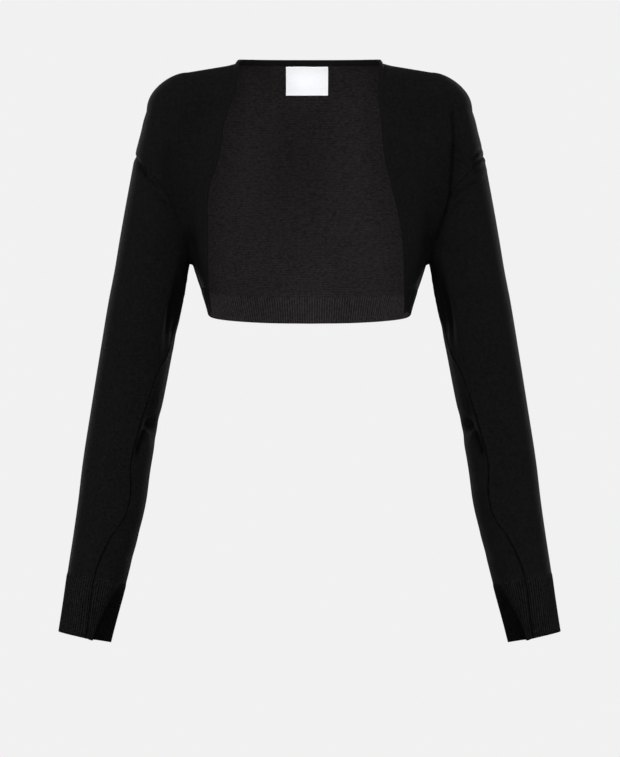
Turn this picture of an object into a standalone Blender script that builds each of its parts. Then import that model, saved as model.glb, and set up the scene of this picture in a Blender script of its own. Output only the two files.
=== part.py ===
"""A cropped, open-front knitted cardigan with long sleeves, filled out as worn and empty inside.

Metres, +Z up, the front towards -Y, +X towards the wearer's left. The origin lies between the
two high shoulder points, where the wearer's shoulders hold the cardigan. Left and right are
the wearer's. Every piece is a thin wall of cloth whose outer face lies on one smooth general
figure: a torso, two shoulders and two hanging arms, blended into each other.
"""

import bmesh
import bpy
import numpy as np

MM = 0.001
COLLECTION = "cardigan"

# Cloth and making.
CLOTH = 1.6 * MM
BAND_CLOTH = 2.4 * MM
LABEL_CLOTH = 0.8 * MM
DRAWN_IN = 0.2 * MM  # each piece stops this far from its seam line
BAND_WIDTH = 6.5 * MM
HEM_RIB_HEIGHT = 30 * MM
CUFF_RIB_LENGTH = 80 * MM
RIB_PITCH = 2.4 * MM
RIB_RISE = 0.6 * MM
SEAM_RIDGE_RISE = 1.0 * MM
SEAM_RIDGE_HALF_WIDTH = 2.0 * MM
BAND_SECTION = ((0.05, 0.8), (0.5, 1.0), (1.0, 0.6))  # shares of its width and its thickness
LABEL_CLEAR = 0.4 * MM  # between the label and the back that it is sewn to
LABEL_ACROSS = np.array((-28.5, 22.5)) * MM
LABEL_HEIGHTS = np.array((-38, -4)) * MM

# Cuts in each net of points, so that pieces that meet share the points of their seam.
SIDE_CUTS = 2
ARMHOLE_CUTS = 10  # on the front half, and again on the back half
SHOULDER_CUTS = 10
NECK_CUTS = 10
SLEEVE_CUTS = 20
CUFF_CUTS = 4
RIB_CUTS = 2
INNER_EVERY = 6  # the plain inside of a rib takes one point for this many outside
LABEL_CUTS = (3, 4)  # up and across
BAND_TURN_CUTS = 5  # the band turns upright over this many cuts at each end of the neck
SHARP_ABOVE = np.radians(50)  # steeper edges than this stay crisp when drawn

# How finely lines and nets are worked out.
SAMPLES = 200
HALVINGS = 40
SETTLE_ROUNDS = 12
EVENING_ROUNDS = 30
SLOPE_STEP = 0.4 * MM
LONGEST_MOVE = 8 * MM


class Table:
    """Rows of numbers under named columns, read on a smooth curve along the first column.

    Its lengths are in millimetres, and come out in metres. A column of degrees stays as it is.
    """

    def __init__(self, columns, *rows):
        self.columns = columns.split()
        units = [1 if column == "degrees" else MM for column in self.columns]
        self.rows = np.array(sorted(rows)) * units

    def at(self, column, place):
        """The column at a place, or at an array of places, along the first column."""
        keys = self.rows[:, 0]
        values = self.rows[:, self.columns.index(column)]
        slopes = np.gradient(values, keys)
        place = np.clip(place, keys[0], keys[-1])
        low = np.clip(np.searchsorted(keys, place) - 1, 0, len(keys) - 2)
        span = keys[low + 1] - keys[low]
        t = (place - keys[low]) / span
        return (
            (1 + 2 * t) * (1 - t) ** 2 * values[low]
            + t * (1 - t) ** 2 * span * slopes[low]
            + t**2 * (3 - 2 * t) * values[low + 1]
            - t**2 * (1 - t) * span * slopes[low + 1]
        )


# The torso, by height above the shoulder points: half its width, and its depth before and
# behind the side seams.
TORSO = Table(
    "height half_width front back",
    (15, 16, 8, 10),
    (10, 50, 18, 28),
    (5, 68, 27, 39),
    (-2, 85, 37, 48),
    (-30, 116, 60, 72),
    (-60, 134, 76, 86),
    (-100, 146, 90, 97),
    (-150, 149, 98, 102),
    (-200, 147, 99, 102),
    (-240, 141, 97, 100),
    (-260, 135, 95, 98),
    (-280, 128, 93, 96),
    (-300, 122, 91, 93),
    (-316, 118, 89, 91),
)
TORSO_TOP = 14 * MM
TORSO_SQUARE = 2.5  # the power of its section: 2 is an ellipse, and more is squarer
TORSO_LEAST = 0.05  # the least share of its section that its distance is worked out for
TORSO_REACH = 139 * MM  # from the middle line past any side of the torso, short of the arms
LONG_REACH = 250 * MM

# The shoulder: a tube along X from beside the neck to the joint, then the arm.
SHOULDER_START = np.array((60, 3, -36)) * MM
SHOULDER_END = np.array((146, 0, -50.5)) * MM
SHOULDER_RADIUS = 38 * MM
SHOULDER_FLATNESS = 1.2  # how much deeper than high the tube is

# The arm and its sleeve, by height: its edges as seen from the front, how far its middle
# lies before or behind the side seams, and half its depth.
ARM = Table(
    "height inner outer middle half_depth",
    (-59, 118, 193, 0, 45),
    (-84, 119, 202, 0, 48),
    (-106, 122, 208, 0, 50),
    (-142, 127, 215, 0, 50),
    (-214, 138, 228, 1, 49),
    (-250, 145, 234, 2, 48),
    (-286, 151, 241, 3, 47),
    (-340, 162, 250, 3, 46),
    (-412, 176.5, 261.5, 1, 44),
    (-484, 189.5, 272.5, -4, 42),
    (-527, 195.5, 277.5, -8, 41),
    (-570, 205.5, 283.5, -13, 39.5),
    (-613, 216, 290, -18, 38),
    (-642, 222, 294, -21, 37),
    (-682, 231, 300, -26, 36),
    (-700, 235, 303, -28, 36),
)
ARM_TOP = -59 * MM  # above this the arm is a round cap
SHOULDER_BLEND = 6 * MM  # the reach over which the arm and shoulder run into each other
BLEND = Table(
    "height reach",
    (0, 8),
    (-25, 16),
    (-60, 26),
    (-140, 24),
    (-200, 18),
    (-240, 14),
    (-260, 12),
)

# The front edges, by height: how far the free edge of the band lies from the middle.
FRONT_EDGE = Table(
    "height right left",
    (4, 81, 80),
    (-4, 84, 82.5),
    (-22, 86, 82.5),
    (-40, 89.5, 82.5),
    (-55, 95, 83.5),
    (-78, 103, 86),
    (-97, 105, 87.5),
    (-120, 109.5, 90),
    (-133, 113, 93),
    (-146, 119, 96.5),
    (-166, 121.5, 101.5),
    (-196, 122, 108.5),
    (-235, 122, 112.5),
    (-274, 121, 113.5),
    (-300, 118, 114),
    (-316, 113, 112),
)
EDGE_BEND_HEIGHT = -38 * MM  # above this the front edge turns over the shoulder

# The hem's lowest line, by how many degrees round from the middle of the back.
HEM = Table(
    "degrees height",
    (0, -313),
    (35, -312),
    (57, -309.5),
    (76, -306),
    (92, -302),
    (108, -300),
    (180, -300),
)
HEM_FRONT = -300 * MM

# The armhole seam, from its top on the outer line of the arm to the armpit.
ARMHOLE_TOP = -120 * MM
ARMPIT = -248.5 * MM
ARMHOLE_BOW = 15 * MM  # how far the seam curves towards the neck between the two
CUFF_END_OUTER = -682 * MM
CUFF_END_INNER = -696 * MM
SLEEVE_STRAIGHTENS = 0.45  # the share of the sleeve over which its rings turn square to it
SLEEVE_EVENS = 0.25  # and the share over which their points become evenly spaced
SHOULDER_HUB = np.array((100, 0, -110)) * MM  # in the chest: the shoulder seam is cast from it

# Where the sleeve's seam runs, by height: degrees from the outer line, 90 at the front.
SLEEVE_SEAM = Table(
    "height degrees",
    (-247, 180),
    (-341, 153),
    (-359, 139),
    (-394, 128),
    (-425, 122),
    (-480, 115),
    (-520, 122),
    (-545, 118),
    (-566, 103),
    (-600, 89),
    (-690, 90),
)

# Soft troughs (and ridges, below nought) pressed into the body: from one point seen from the
# front to another, by how wide and how deep. A trough on the back has its own rows.
BODY_FOLDS = (
    # side, start across, start height, end across, end height, half width, depth
    ("front", 170, -48, 173, -112, 9, 3.0),
    ("front", 173, -112, 149, -222, 9, 3.5),
    ("front", -166, -60, -168, -120, 10, 1.8),
    ("front", -168, -120, -150, -222, 9, 2.5),
    ("back", 168, -70, 150, -225, 10, 3.0),
    ("back", -170, -64, -151, -228, 10, 3.0),
    ("back", 60, -262, 104, -196, 12, 1.6),
    ("back", -48, -258, -98, -188, 12, 1.4),
)

# Soft troughs in both sleeves: height, degrees round from the outer line, half length along
# the sleeve, half width round it, and depth.
SLEEVE_DENTS = (
    (-433, 160, 16, 20, 2.5),
    (-300, 145, 26, 18, 2.5),
    (-352, 215, 24, 20, 2.5),
    (-500, 215, 26, 20, 2.5),
    (-560, 60, 24, 20, 1.5),
    (-705, 138, 62, 22, 11.0),
)

CLOTH_BLACK = (0.0085, 0.0088, 0.0085)
LABEL_WHITE = (0.86, 0.86, 0.88)


def mirrored(points, side):
    """Points of the wearer's left as they lie on a side: +1 is left and -1 is right."""
    return points * np.array((side, 1, 1))


def unit(vectors):
    return vectors / np.linalg.norm(vectors, axis=-1, keepdims=True)


def blended(a, b, reach):
    """The lesser of two distances, rounded off where they are nearly equal."""
    near = np.maximum(reach - np.abs(a - b), 0) / reach
    return np.minimum(a, b) - near**2 * reach / 4


def torso_distance(x, y, z):
    across = np.abs(x) / TORSO.at("half_width", z)
    deep = np.abs(y) / np.where(y < 0, TORSO.at("front", z), TORSO.at("back", z))
    share = (across**TORSO_SQUARE + deep**TORSO_SQUARE) ** (1 / TORSO_SQUARE)
    aside = np.hypot(x, y) * (1 - 1 / np.maximum(share, TORSO_LEAST))
    return np.maximum(aside, z - TORSO_TOP)


def shoulder_distance(x, y, z):
    run = SHOULDER_END - SHOULDER_START
    along = np.clip((np.abs(x) - SHOULDER_START[0]) / run[0], 0, 1)
    middle = SHOULDER_START + along[..., None] * run
    return (
        np.sqrt(
            (np.abs(x) - middle[..., 0]) ** 2
            + ((y - middle[..., 1]) / SHOULDER_FLATNESS) ** 2
            + (z - middle[..., 2]) ** 2
        )
        - SHOULDER_RADIUS
    )


def arm_distance(x, y, z):
    height = np.minimum(z, ARM_TOP)
    inner = ARM.at("inner", height)
    outer = ARM.at("outer", height)
    half = (outer - inner) / 2
    flatness = ARM.at("half_depth", height) / half
    return (
        np.sqrt(
            (np.abs(x) - (inner + outer) / 2) ** 2
            + ((y - ARM.at("middle", height)) / flatness) ** 2
            + (z - height) ** 2
        )
        - half
    )


def distance(points):
    """About how far points lie outside the figure, below nought inside it."""
    x, y, z = points[..., 0], points[..., 1], points[..., 2]
    limb = blended(shoulder_distance(x, y, z), arm_distance(x, y, z), SHOULDER_BLEND)
    return blended(torso_distance(x, y, z), limb, BLEND.at("reach", z))


def gradient(points):
    parts = []
    for step in SLOPE_STEP * np.eye(3):
        parts.append((distance(points + step) - distance(points - step)) / (2 * SLOPE_STEP))
    return np.stack(parts, axis=-1)


def outward(points):
    return unit(gradient(points))


def settled(points, rounds=SETTLE_ROUNDS):
    """Points moved square to the figure until they lie on it."""
    for _ in range(rounds):
        slope = gradient(points)
        share = distance(points) / (slope**2).sum(axis=-1)
        points = points - np.clip(share, -LONGEST_MOVE, LONGEST_MOVE)[..., None] * slope
    return points


def cast(starts, directions, reach=LONG_REACH):
    """Where lines from inside the figure leave it."""
    low = np.zeros(np.broadcast(starts, directions).shape[:-1])
    high = low + reach
    for _ in range(HALVINGS):
        middle = (low + high) / 2
        inside = distance(starts + middle[..., None] * directions) < 0
        low = np.where(inside, middle, low)
        high = np.where(inside, high, middle)
    return starts + low[..., None] * directions


def spaced(curve, cuts):
    """A curve's points again, the same length apart."""
    lengths = np.linalg.norm(np.diff(curve, axis=0), axis=1)
    along = np.concatenate(([0], np.cumsum(lengths)))
    places = np.linspace(0, along[-1], cuts + 1)
    return np.stack([np.interp(places, along, curve[:, k]) for k in range(3)], axis=1)


def along_curve(curve):
    return unit(np.gradient(curve, axis=0))


# Seam lines, each a list of points that the pieces on both sides of it share.


def armhole_ring(outer_height, inner_height, bow, angles):
    """A ring round the arm between two heights, curved towards the neck at front and back."""
    outer = np.array((ARM.at("outer", outer_height), 0, outer_height))
    inner = np.array((ARM.at("inner", inner_height), 0, inner_height))
    middle_height = (outer_height + inner_height) / 2
    half = (outer - inner) / 2
    square = unit(np.array((-half[2], 0, half[0])))
    deep = ARM.at("half_depth", middle_height)
    centre = (outer + inner) / 2 + np.array((0, ARM.at("middle", middle_height), 0))
    turn = angles[..., None]
    return (
        centre
        + half * np.cos(turn)
        - np.array((0, deep, 0)) * np.sin(turn)
        + square * bow * np.sin(turn) ** 2
    )


def armhole():
    """The whole armhole seam: from its top down the front to the armpit and up the back."""
    angles = np.linspace(0, 2 * np.pi, 2 * SAMPLES + 1)
    ring = settled(armhole_ring(ARMHOLE_TOP, ARMPIT, ARMHOLE_BOW, angles))
    half = len(ring) // 2
    front = spaced(ring[: half + 1], ARMHOLE_CUTS)
    back = spaced(ring[half:], ARMHOLE_CUTS)
    seam = np.concatenate((front, back[1:-1]))
    nearest = np.linalg.norm(ring[None, :-1] - seam[:, None], axis=-1).argmin(axis=1)
    return seam, angles[nearest]


def front_edge(side):
    """The band's free edge down one front, from over the shoulder to the hem."""
    column = "left" if side > 0 else "right"
    over = np.linspace(0, np.pi / 2, SAMPLES // 4)[:-1]
    down = np.linspace(EDGE_BEND_HEIGHT, HEM_FRONT - 2 * BAND_WIDTH, SAMPLES)
    heights = np.concatenate((EDGE_BEND_HEIGHT * (1 - np.cos(over)), down))
    starts = np.stack(
        (
            FRONT_EDGE.at(column, heights),
            np.zeros_like(heights),
            np.minimum(heights, EDGE_BEND_HEIGHT),
        ),
        axis=1,
    )
    directions = np.zeros_like(starts)
    directions[:, 1] = -1
    directions[: len(over), 1] = -np.sin(over)
    directions[: len(over), 2] = np.cos(over)
    return cast(starts, directions)


def beside_edge(edge):
    """The seam between a front and its band: a band's width from the free edge."""
    aside = unit(np.cross(outward(edge), along_curve(edge)))
    aside *= np.sign(aside[:, :1])
    return settled(edge + BAND_WIDTH * aside)


def shoulder_seam(neck_point, armhole_top):
    """Over the shoulder from the neck to the top of the armhole, cast from inside the chest."""
    first, last = neck_point - SHOULDER_HUB, armhole_top - SHOULDER_HUB
    angles = np.linspace(np.arctan2(first[2], first[0]), np.arctan2(last[2], last[0]), SAMPLES)
    directions = np.stack((np.cos(angles), np.zeros_like(angles), np.sin(angles)), axis=1)
    curve = cast(SHOULDER_HUB, directions)
    curve[0], curve[-1] = neck_point, armhole_top
    return spaced(curve, SHOULDER_CUTS)


def back_neck(neck_point):
    """From the wearer's left shoulder point round the back of the neck to the right one."""
    angles = np.linspace(0, np.pi, SAMPLES)
    directions = np.stack((np.cos(angles), np.sin(angles), np.zeros_like(angles)), axis=1)
    curve = cast(np.array((0, 0, neck_point[2])), directions)
    curve[0], curve[-1] = neck_point, mirrored(neck_point, -1)
    return spaced(curve, NECK_CUTS)


def ring_round_back(first, last, lift):
    """Level with the hem and a lift above it, from the left band seam round to the right one."""
    start = np.arctan2(first[1], first[0])
    end = np.arctan2(last[1], last[0]) % (2 * np.pi)
    parts = []
    for low, high, cuts in (
        (start, 0, SHOULDER_CUTS),
        (0, np.pi, 2 * SHOULDER_CUTS + NECK_CUTS),
        (np.pi, end, SHOULDER_CUTS),
    ):
        angles = np.linspace(low, high, SAMPLES)
        starts = np.zeros((len(angles), 3))
        starts[:, 2] = HEM.at("height", np.abs(np.degrees(angles) - 90)) + lift
        directions = np.stack((np.cos(angles), np.sin(angles), np.zeros_like(angles)), axis=1)
        parts.append(spaced(cast(starts, directions, TORSO_REACH), cuts))
    parts[0][0], parts[-1][-1] = first, last
    return parts


def side_seam(foot, armpit):
    """Up the side from the hem rib to the armpit."""
    heights = np.linspace(foot[2], armpit[2], SIDE_CUTS + 1)
    starts = np.stack((np.zeros_like(heights), np.zeros_like(heights), heights), axis=1)
    curve = cast(starts, np.array((1, 0, 0)), TORSO_REACH)
    curve[0], curve[-1] = foot, armpit
    return curve


def net_between(bottom, top, start, end):
    """A net of points between four seam lines, evened out and laid on the figure."""
    u = np.linspace(0, 1, len(bottom))[None, :, None]
    v = np.linspace(0, 1, len(start))[:, None, None]
    net = (1 - v) * bottom + v * top + (1 - u) * start[:, None] + u * end[:, None]
    net = net - (1 - v) * ((1 - u) * bottom[0] + u * bottom[-1])
    net = net - v * ((1 - u) * top[0] + u * top[-1])
    for _ in range(EVENING_ROUNDS):
        around = net[:-2, 1:-1] + net[2:, 1:-1] + net[1:-1, :-2] + net[1:-1, 2:]
        net[1:-1, 1:-1] = settled(around / 4, 2)
    return net


# Folds.


def body_folds(points):
    """How deep the body's folds press each point in."""
    depth = np.zeros(points.shape[:-1])
    for face, x0, z0, x1, z1, half_width, deep in BODY_FOLDS:
        start = np.array((x0, z0)) * MM
        run = np.array((x1, z1)) * MM - start
        flat = points[..., (0, 2)] - start
        share = np.clip((flat @ run) / (run @ run), 0, 1)
        away = np.linalg.norm(flat - share[..., None] * run, axis=-1)
        on_face = points[..., 1] < 0 if face == "front" else points[..., 1] > 0
        depth += on_face * deep * MM * np.exp(-((away / (half_width * MM)) ** 2))
    return depth


def sleeve_dents(points, angles):
    """How deep the sleeve's troughs press each point in, by its height and its angle."""
    depth = np.zeros(points.shape[:-1])
    radius = ARM.at("half_depth", points[..., 2])
    for height, degrees, half_length, half_width, deep in SLEEVE_DENTS:
        turn = (angles - np.radians(degrees) + np.pi) % (2 * np.pi) - np.pi
        round_it = turn * radius / (half_width * MM)
        down_it = (points[..., 2] - height * MM) / (half_length * MM)
        depth += deep * MM * np.exp(-(round_it**2) - down_it**2)
    return depth


# Walls.


def drawn_in(net, ends=True, sides=True):
    """The net with its outermost rows and columns stopped short of their seam lines."""
    net = net.copy()
    if ends:
        net[0] += DRAWN_IN * unit(net[1] - net[0])
        net[-1] += DRAWN_IN * unit(net[-2] - net[-1])
    if sides:
        net[:, 0] += DRAWN_IN * unit(net[:, 1] - net[:, 0])
        net[:, -1] += DRAWN_IN * unit(net[:, -2] - net[:, -1])
    return net


def rim(outer, inner):
    """Triangles that close a wall along one edge, where the outer line has more points."""
    each = (len(outer) - 1) // (len(inner) - 1)
    faces = []
    for k in range(len(inner) - 1):
        first, middle, last = k * each, k * each + each // 2, (k + 1) * each
        faces += [(inner[k], outer[n], outer[n + 1]) for n in range(first, middle)]
        faces.append((inner[k], outer[middle], inner[k + 1]))
        faces += [(inner[k + 1], outer[n], outer[n + 1]) for n in range(middle, last)]
    return faces


def shorter_way(net):
    """For each cell of a net, whether the corner it starts from lies on its shorter diagonal."""
    one = np.linalg.norm(net[1:, 1:] - net[:-1, :-1], axis=-1)
    other = np.linalg.norm(net[1:, :-1] - net[:-1, 1:], axis=-1)
    return one <= other


def sheet(numbers, ways):
    """Triangles of one face of a wall, each cell split along the diagonal that its way names."""
    faces = []
    for (row, column), from_start in np.ndenumerate(ways):
        a, b = numbers[row][column], numbers[row][column + 1]
        d, c = numbers[row + 1][column], numbers[row + 1][column + 1]
        faces += [(a, b, c), (a, c, d)] if from_start else [(a, b, d), (b, c, d)]
    return faces


def wall(name, outer, inner, finish, closed=False):
    """One piece of cloth: a closed solid between an outer and an inner net of points."""
    points = np.concatenate((outer.reshape(-1, 3), inner.reshape(-1, 3)))
    count = outer.shape[0] * outer.shape[1]
    outside = np.arange(count).reshape(outer.shape[:2])
    inside = np.arange(count, len(points)).reshape(inner.shape[:2])
    if closed:
        outside = np.concatenate((outside, outside[:, :1]), axis=1)
        inside = np.concatenate((inside, inside[:, :1]), axis=1)
    ways = shorter_way(points[outside])
    same = outside.shape == inside.shape
    faces = sheet(outside.tolist(), ways)
    faces += sheet(inside.tolist(), ways if same else shorter_way(points[inside]))
    for row in (0, -1):
        faces += rim(outside[row].tolist(), inside[row].tolist())
    if not closed:
        for column in (0, -1):
            faces += rim(outside[:, column].tolist(), inside[:, column].tolist())
    mesh = bpy.data.meshes.new(name)
    mesh.from_pydata(points.tolist(), [], faces)
    shape = bmesh.new()
    shape.from_mesh(mesh)
    bmesh.ops.recalc_face_normals(shape, faces=shape.faces)
    shape.to_mesh(mesh)
    shape.free()
    mesh.shade_smooth()
    mesh.set_sharp_from_angle(angle=SHARP_ABOVE)
    mesh.materials.append(finish)
    piece = bpy.data.objects.new(name, mesh)
    bpy.data.collections[COLLECTION].objects.link(piece)
    return piece


def faces_of_cloth(net, pressed, thickness=CLOTH):
    """The outer and inner nets of a wall on the figure, pressed in along its folds."""
    normals = outward(net)
    outer = net - pressed[..., None] * normals
    return outer, outer - thickness * normals


def ribbed(outer, inner, closed):
    """A rib's nets: the outer one rises at every second point, and the inner one is plain."""
    if closed:
        outer = np.concatenate((outer, outer[:, :1]), axis=1)
        inner = np.concatenate((inner, inner[:, :1]), axis=1)
    middle = outer[len(outer) // 2]
    length = np.linalg.norm(np.diff(middle, axis=0), axis=1).sum()
    ribs = INNER_EVERY * round(length / RIB_PITCH / INNER_EVERY)
    fine = np.stack([spaced(row, 2 * ribs) for row in outer])
    plain = np.stack([spaced(row, 2 * ribs)[::INNER_EVERY] for row in inner])
    backed = np.stack([spaced(row, 2 * ribs) for row in inner])
    fine[:, 1::2] += RIB_RISE * unit(fine - backed)[:, 1::2]
    if closed:
        fine, plain = fine[:, :-1], plain[:, :-1]
    return fine, plain


def finish(name, colour, roughness):
    material = bpy.data.materials.new(name)
    material.use_nodes = True
    shader = material.node_tree.nodes["Principled BSDF"]
    shader.inputs["Base Color"].default_value = (*colour, 1)
    shader.inputs["Roughness"].default_value = roughness
    shader.inputs["Metallic"].default_value = 0
    material.diffuse_color = (*colour, 1)
    return material


# Pieces.


class Lines:
    """All seam lines, worked out once. Side +1 is the wearer's left and -1 the right."""

    def __init__(self):
        lifts = np.linspace(0, HEM_RIB_HEIGHT, RIB_CUTS + 1)
        self.armhole, self.armhole_angles = armhole()
        dense = {side: beside_edge(front_edge(side)) for side in (1, -1)}
        neck_point = (dense[1][0] + dense[-1][0]) / 2
        self.neck_point = settled(neck_point * np.array((1, 0, 1)))
        self.shoulder = shoulder_seam(self.neck_point, self.armhole[0])
        self.neck = back_neck(self.neck_point)
        self.band_seam = {}
        for side, curve in dense.items():
            curve = mirrored(curve[::-1], side)
            curve[-1] = mirrored(self.neck_point, side)
            levels = HEM_FRONT + lifts
            lower = np.stack([np.interp(levels, curve[:, 2], curve[:, k]) for k in range(3)], 1)
            upper = np.concatenate((lower[-1:], curve[curve[:, 2] > levels[-1]]))
            upper = spaced(upper, SIDE_CUTS + ARMHOLE_CUTS)
            self.band_seam[side] = np.concatenate((lower[:-1], upper))
        self.rings = []
        for row, lift in enumerate(lifts):
            first, last = self.band_seam[1][row], self.band_seam[-1][row]
            self.rings.append(ring_round_back(first, last, lift))
        foot = self.rings[-1][1][0]
        armpit = self.armhole[ARMHOLE_CUTS]
        self.side = side_seam(foot, armpit)
        front_half = self.armhole[ARMHOLE_CUTS::-1]
        back_half = np.concatenate((self.armhole[ARMHOLE_CUTS:], self.armhole[:1]))
        self.front_side = np.concatenate((self.side[:-1], front_half))
        self.back_side = np.concatenate((self.side[:-1], back_half))


def front(lines, side, material):
    """One front: from its band to the side seam and armhole, and up to the shoulder seam."""
    bottom = lines.rings[-1][0] if side > 0 else lines.rings[-1][2][::-1]
    net = net_between(
        bottom,
        mirrored(lines.shoulder, side),
        lines.band_seam[side][RIB_CUTS:],
        mirrored(lines.front_side, side),
    )
    outer, inner = faces_of_cloth(net, body_folds(net))
    name = "front_left" if side > 0 else "front_right"
    wall(name, drawn_in(outer), drawn_in(inner), material)


def back(lines, material):
    """The back, one piece from side to side. Its inner points are given back for the label."""
    top = np.concatenate((lines.shoulder[::-1], lines.neck[1:-1], mirrored(lines.shoulder, -1)))
    net = net_between(lines.rings[-1][1], top, lines.back_side, mirrored(lines.back_side, -1))
    outer, inner = faces_of_cloth(net, body_folds(net))
    wall("back", drawn_in(outer), drawn_in(inner), material)
    return inner


def sleeve_rings(first, last, cuts, lines):
    """Rings of points round the arm from one share of its length to another."""
    at = ARMHOLE_CUTS
    top, end = np.array((ARMHOLE_TOP, ARMPIT)), np.array((CUFF_END_OUTER, CUFF_END_INNER))
    level = np.linspace(0, 2 * np.pi, 2 * ARMHOLE_CUTS, endpoint=False)
    rows = []
    for share in np.linspace(first, last, cuts + 1):
        tilted = max(1 - share / SLEEVE_STRAIGHTENS, 0) ** 2
        middle = top.mean() + share * (end.mean() - top.mean())
        tilt = (end[0] - end[1]) + tilted * ((top[0] - top[1]) - (end[0] - end[1]))
        even = min(share / SLEEVE_EVENS, 1)
        twist = np.radians(SLEEVE_SEAM.at("degrees", middle) - 180)
        angles = (1 - even) * lines.armhole_angles + even * (level + twist)
        beside = SEAM_RIDGE_HALF_WIDTH / ARM.at("half_depth", middle)
        angles = np.concatenate(
            (angles[:at], angles[at] + beside * np.array((-1, 0, 1)), angles[at + 1 :])
        )
        net = settled(
            armhole_ring(middle + tilt / 2, middle - tilt / 2, ARMHOLE_BOW * tilted, angles)
        )
        rows.append((net, angles))
    return np.stack([net for net, _ in rows]), np.stack([angles for _, angles in rows])


def sleeve(lines, side, material, cuff_material):
    """One sleeve, a tube from the armhole to its ribbed cuff, and the cuff."""
    length = np.linalg.norm(
        armhole_ring(CUFF_END_OUTER, CUFF_END_INNER, 0, np.zeros(1))
        - armhole_ring(ARMHOLE_TOP, ARMPIT, 0, np.zeros(1))
    )
    cuff_start = 1 - CUFF_RIB_LENGTH / length
    net, angles = sleeve_rings(0, cuff_start, SLEEVE_CUTS, lines)
    at = ARMHOLE_CUTS
    pit, before, after = lines.armhole[at], lines.armhole[at - 1], lines.armhole[at + 1]
    net[0] = np.concatenate(
        (
            lines.armhole[:at],
            (pit + SEAM_RIDGE_HALF_WIDTH * unit(before - pit),),
            (pit,),
            (pit + SEAM_RIDGE_HALF_WIDTH * unit(after - pit),),
            lines.armhole[at + 1 :],
        )
    )
    pressed = sleeve_dents(net, angles)
    pressed[0] = body_folds(net[0])
    pressed[3:, at + 1] -= SEAM_RIDGE_RISE
    outer, inner = faces_of_cloth(net, pressed)
    inner[3:, at + 1] -= SEAM_RIDGE_RISE * outward(net[3:, at + 1])
    for row in (outer[0], inner[0]):
        for beside, beyond in ((at, at - 1), (at + 2, at + 3)):
            row[beside] = row[at + 1] + SEAM_RIDGE_HALF_WIDTH * unit(row[beyond] - row[at + 1])
    word = "left" if side > 0 else "right"
    wall(
        f"sleeve_{word}",
        mirrored(drawn_in(outer, sides=False), side),
        mirrored(drawn_in(inner, sides=False), side),
        material,
        closed=True,
    )
    net, angles = sleeve_rings(cuff_start, 1, CUFF_CUTS, lines)
    outer, inner = faces_of_cloth(net, sleeve_dents(net, angles))
    outer, inner = ribbed(outer, inner, closed=True)
    wall(
        f"cuff_{word}",
        mirrored(drawn_in(outer, sides=False), side),
        mirrored(drawn_in(inner, sides=False), side),
        cuff_material,
        closed=True,
    )


def hem_rib(lines, material):
    """The ribbed hem, in one strip from the left front band round the back to the right."""
    rows = []
    for parts in lines.rings:
        rows.append(np.concatenate((parts[0][:-1], parts[1][:-1], parts[2])))
    net = np.stack(rows)
    outer, inner = faces_of_cloth(net, body_folds(net))
    outer, inner = ribbed(outer, inner, closed=False)
    wall("hem_rib", drawn_in(outer), drawn_in(inner), material)


def band(lines, material):
    """The narrow band, one strip up the left front, round the neck and down the right front."""
    seam = np.concatenate(
        (lines.band_seam[1][:-1], lines.neck[:-1], lines.band_seam[-1][::-1])
    )
    normals = outward(seam)
    tangents = along_curve(seam)
    aside = unit(np.cross(normals, tangents))
    count = len(lines.band_seam[1]) - 1
    station = np.arange(len(seam))
    from_front = np.minimum(station - count, count + NECK_CUTS - station)
    upright = np.clip(0.5 + from_front / BAND_TURN_CUTS, 0, 1)[:, None]
    towards = unit((1 - upright) * aside + upright * np.array((0, 0, 1)))
    proud = unit(np.cross(tangents, towards))
    middle = seam - CLOTH / 2 * normals
    outer, inner = [], []
    for (share, swell), thick in zip(BAND_SECTION, (normals, proud, proud)):
        line = middle + share * BAND_WIDTH * towards
        outer.append(line + swell * BAND_CLOTH / 2 * thick)
        inner.append(line - swell * BAND_CLOTH / 2 * thick)
    wall("edge_band", np.stack(outer, axis=1), np.stack(inner, axis=1), material)


def label(back_inner, material):
    """The blank label, sewn inside the back just under the neck band."""
    rows, columns = back_inner.shape[:2]
    heights = back_inner[:, columns // 2, 2]
    places = np.interp(np.linspace(*LABEL_HEIGHTS, LABEL_CUTS[0] + 1), heights, np.arange(rows))
    across = np.linspace(*LABEL_ACROSS, LABEL_CUTS[1] + 1)
    net = []
    for place in places:
        low = min(int(place), rows - 2)
        line = back_inner[low] + (place - low) * (back_inner[low + 1] - back_inner[low])
        line = line[np.argsort(line[:, 0])]
        net.append(np.stack([np.interp(across, line[:, 0], line[:, k]) for k in range(3)], 1))
    net = np.stack(net)
    normals = outward(net)
    outer = net - LABEL_CLEAR * normals
    wall("label", outer, outer - LABEL_CLOTH * normals, material)


def main():
    for leftover in list(bpy.data.objects):
        bpy.data.objects.remove(leftover, do_unlink=True)
    bpy.context.scene.collection.children.link(bpy.data.collections.new(COLLECTION))
    knit = finish("black_fine_knit", CLOTH_BLACK, 0.85)
    rib = finish("black_rib_knit", CLOTH_BLACK, 0.9)
    edge = finish("black_edge_band", CLOTH_BLACK, 0.8)
    woven = finish("white_woven_label", LABEL_WHITE, 0.6)
    lines = Lines()
    inner = back(lines, knit)
    for side in (1, -1):
        front(lines, side, knit)
        sleeve(lines, side, knit, rib)
    hem_rib(lines, rib)
    band(lines, edge)
    label(inner, woven)


main()
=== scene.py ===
"""The cardigan's looks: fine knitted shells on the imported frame's own form, and a plain studio.

Metres, +Z up, the open front towards -Y, +X towards the wearer's left, as in the frame. Each
piece of cloth follows nearly the same figure, seam lines and folds as its solid, with many more
points and with finer folds. It is a thin shell with a map of its knit in metres.
"""

from functools import cache

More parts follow.
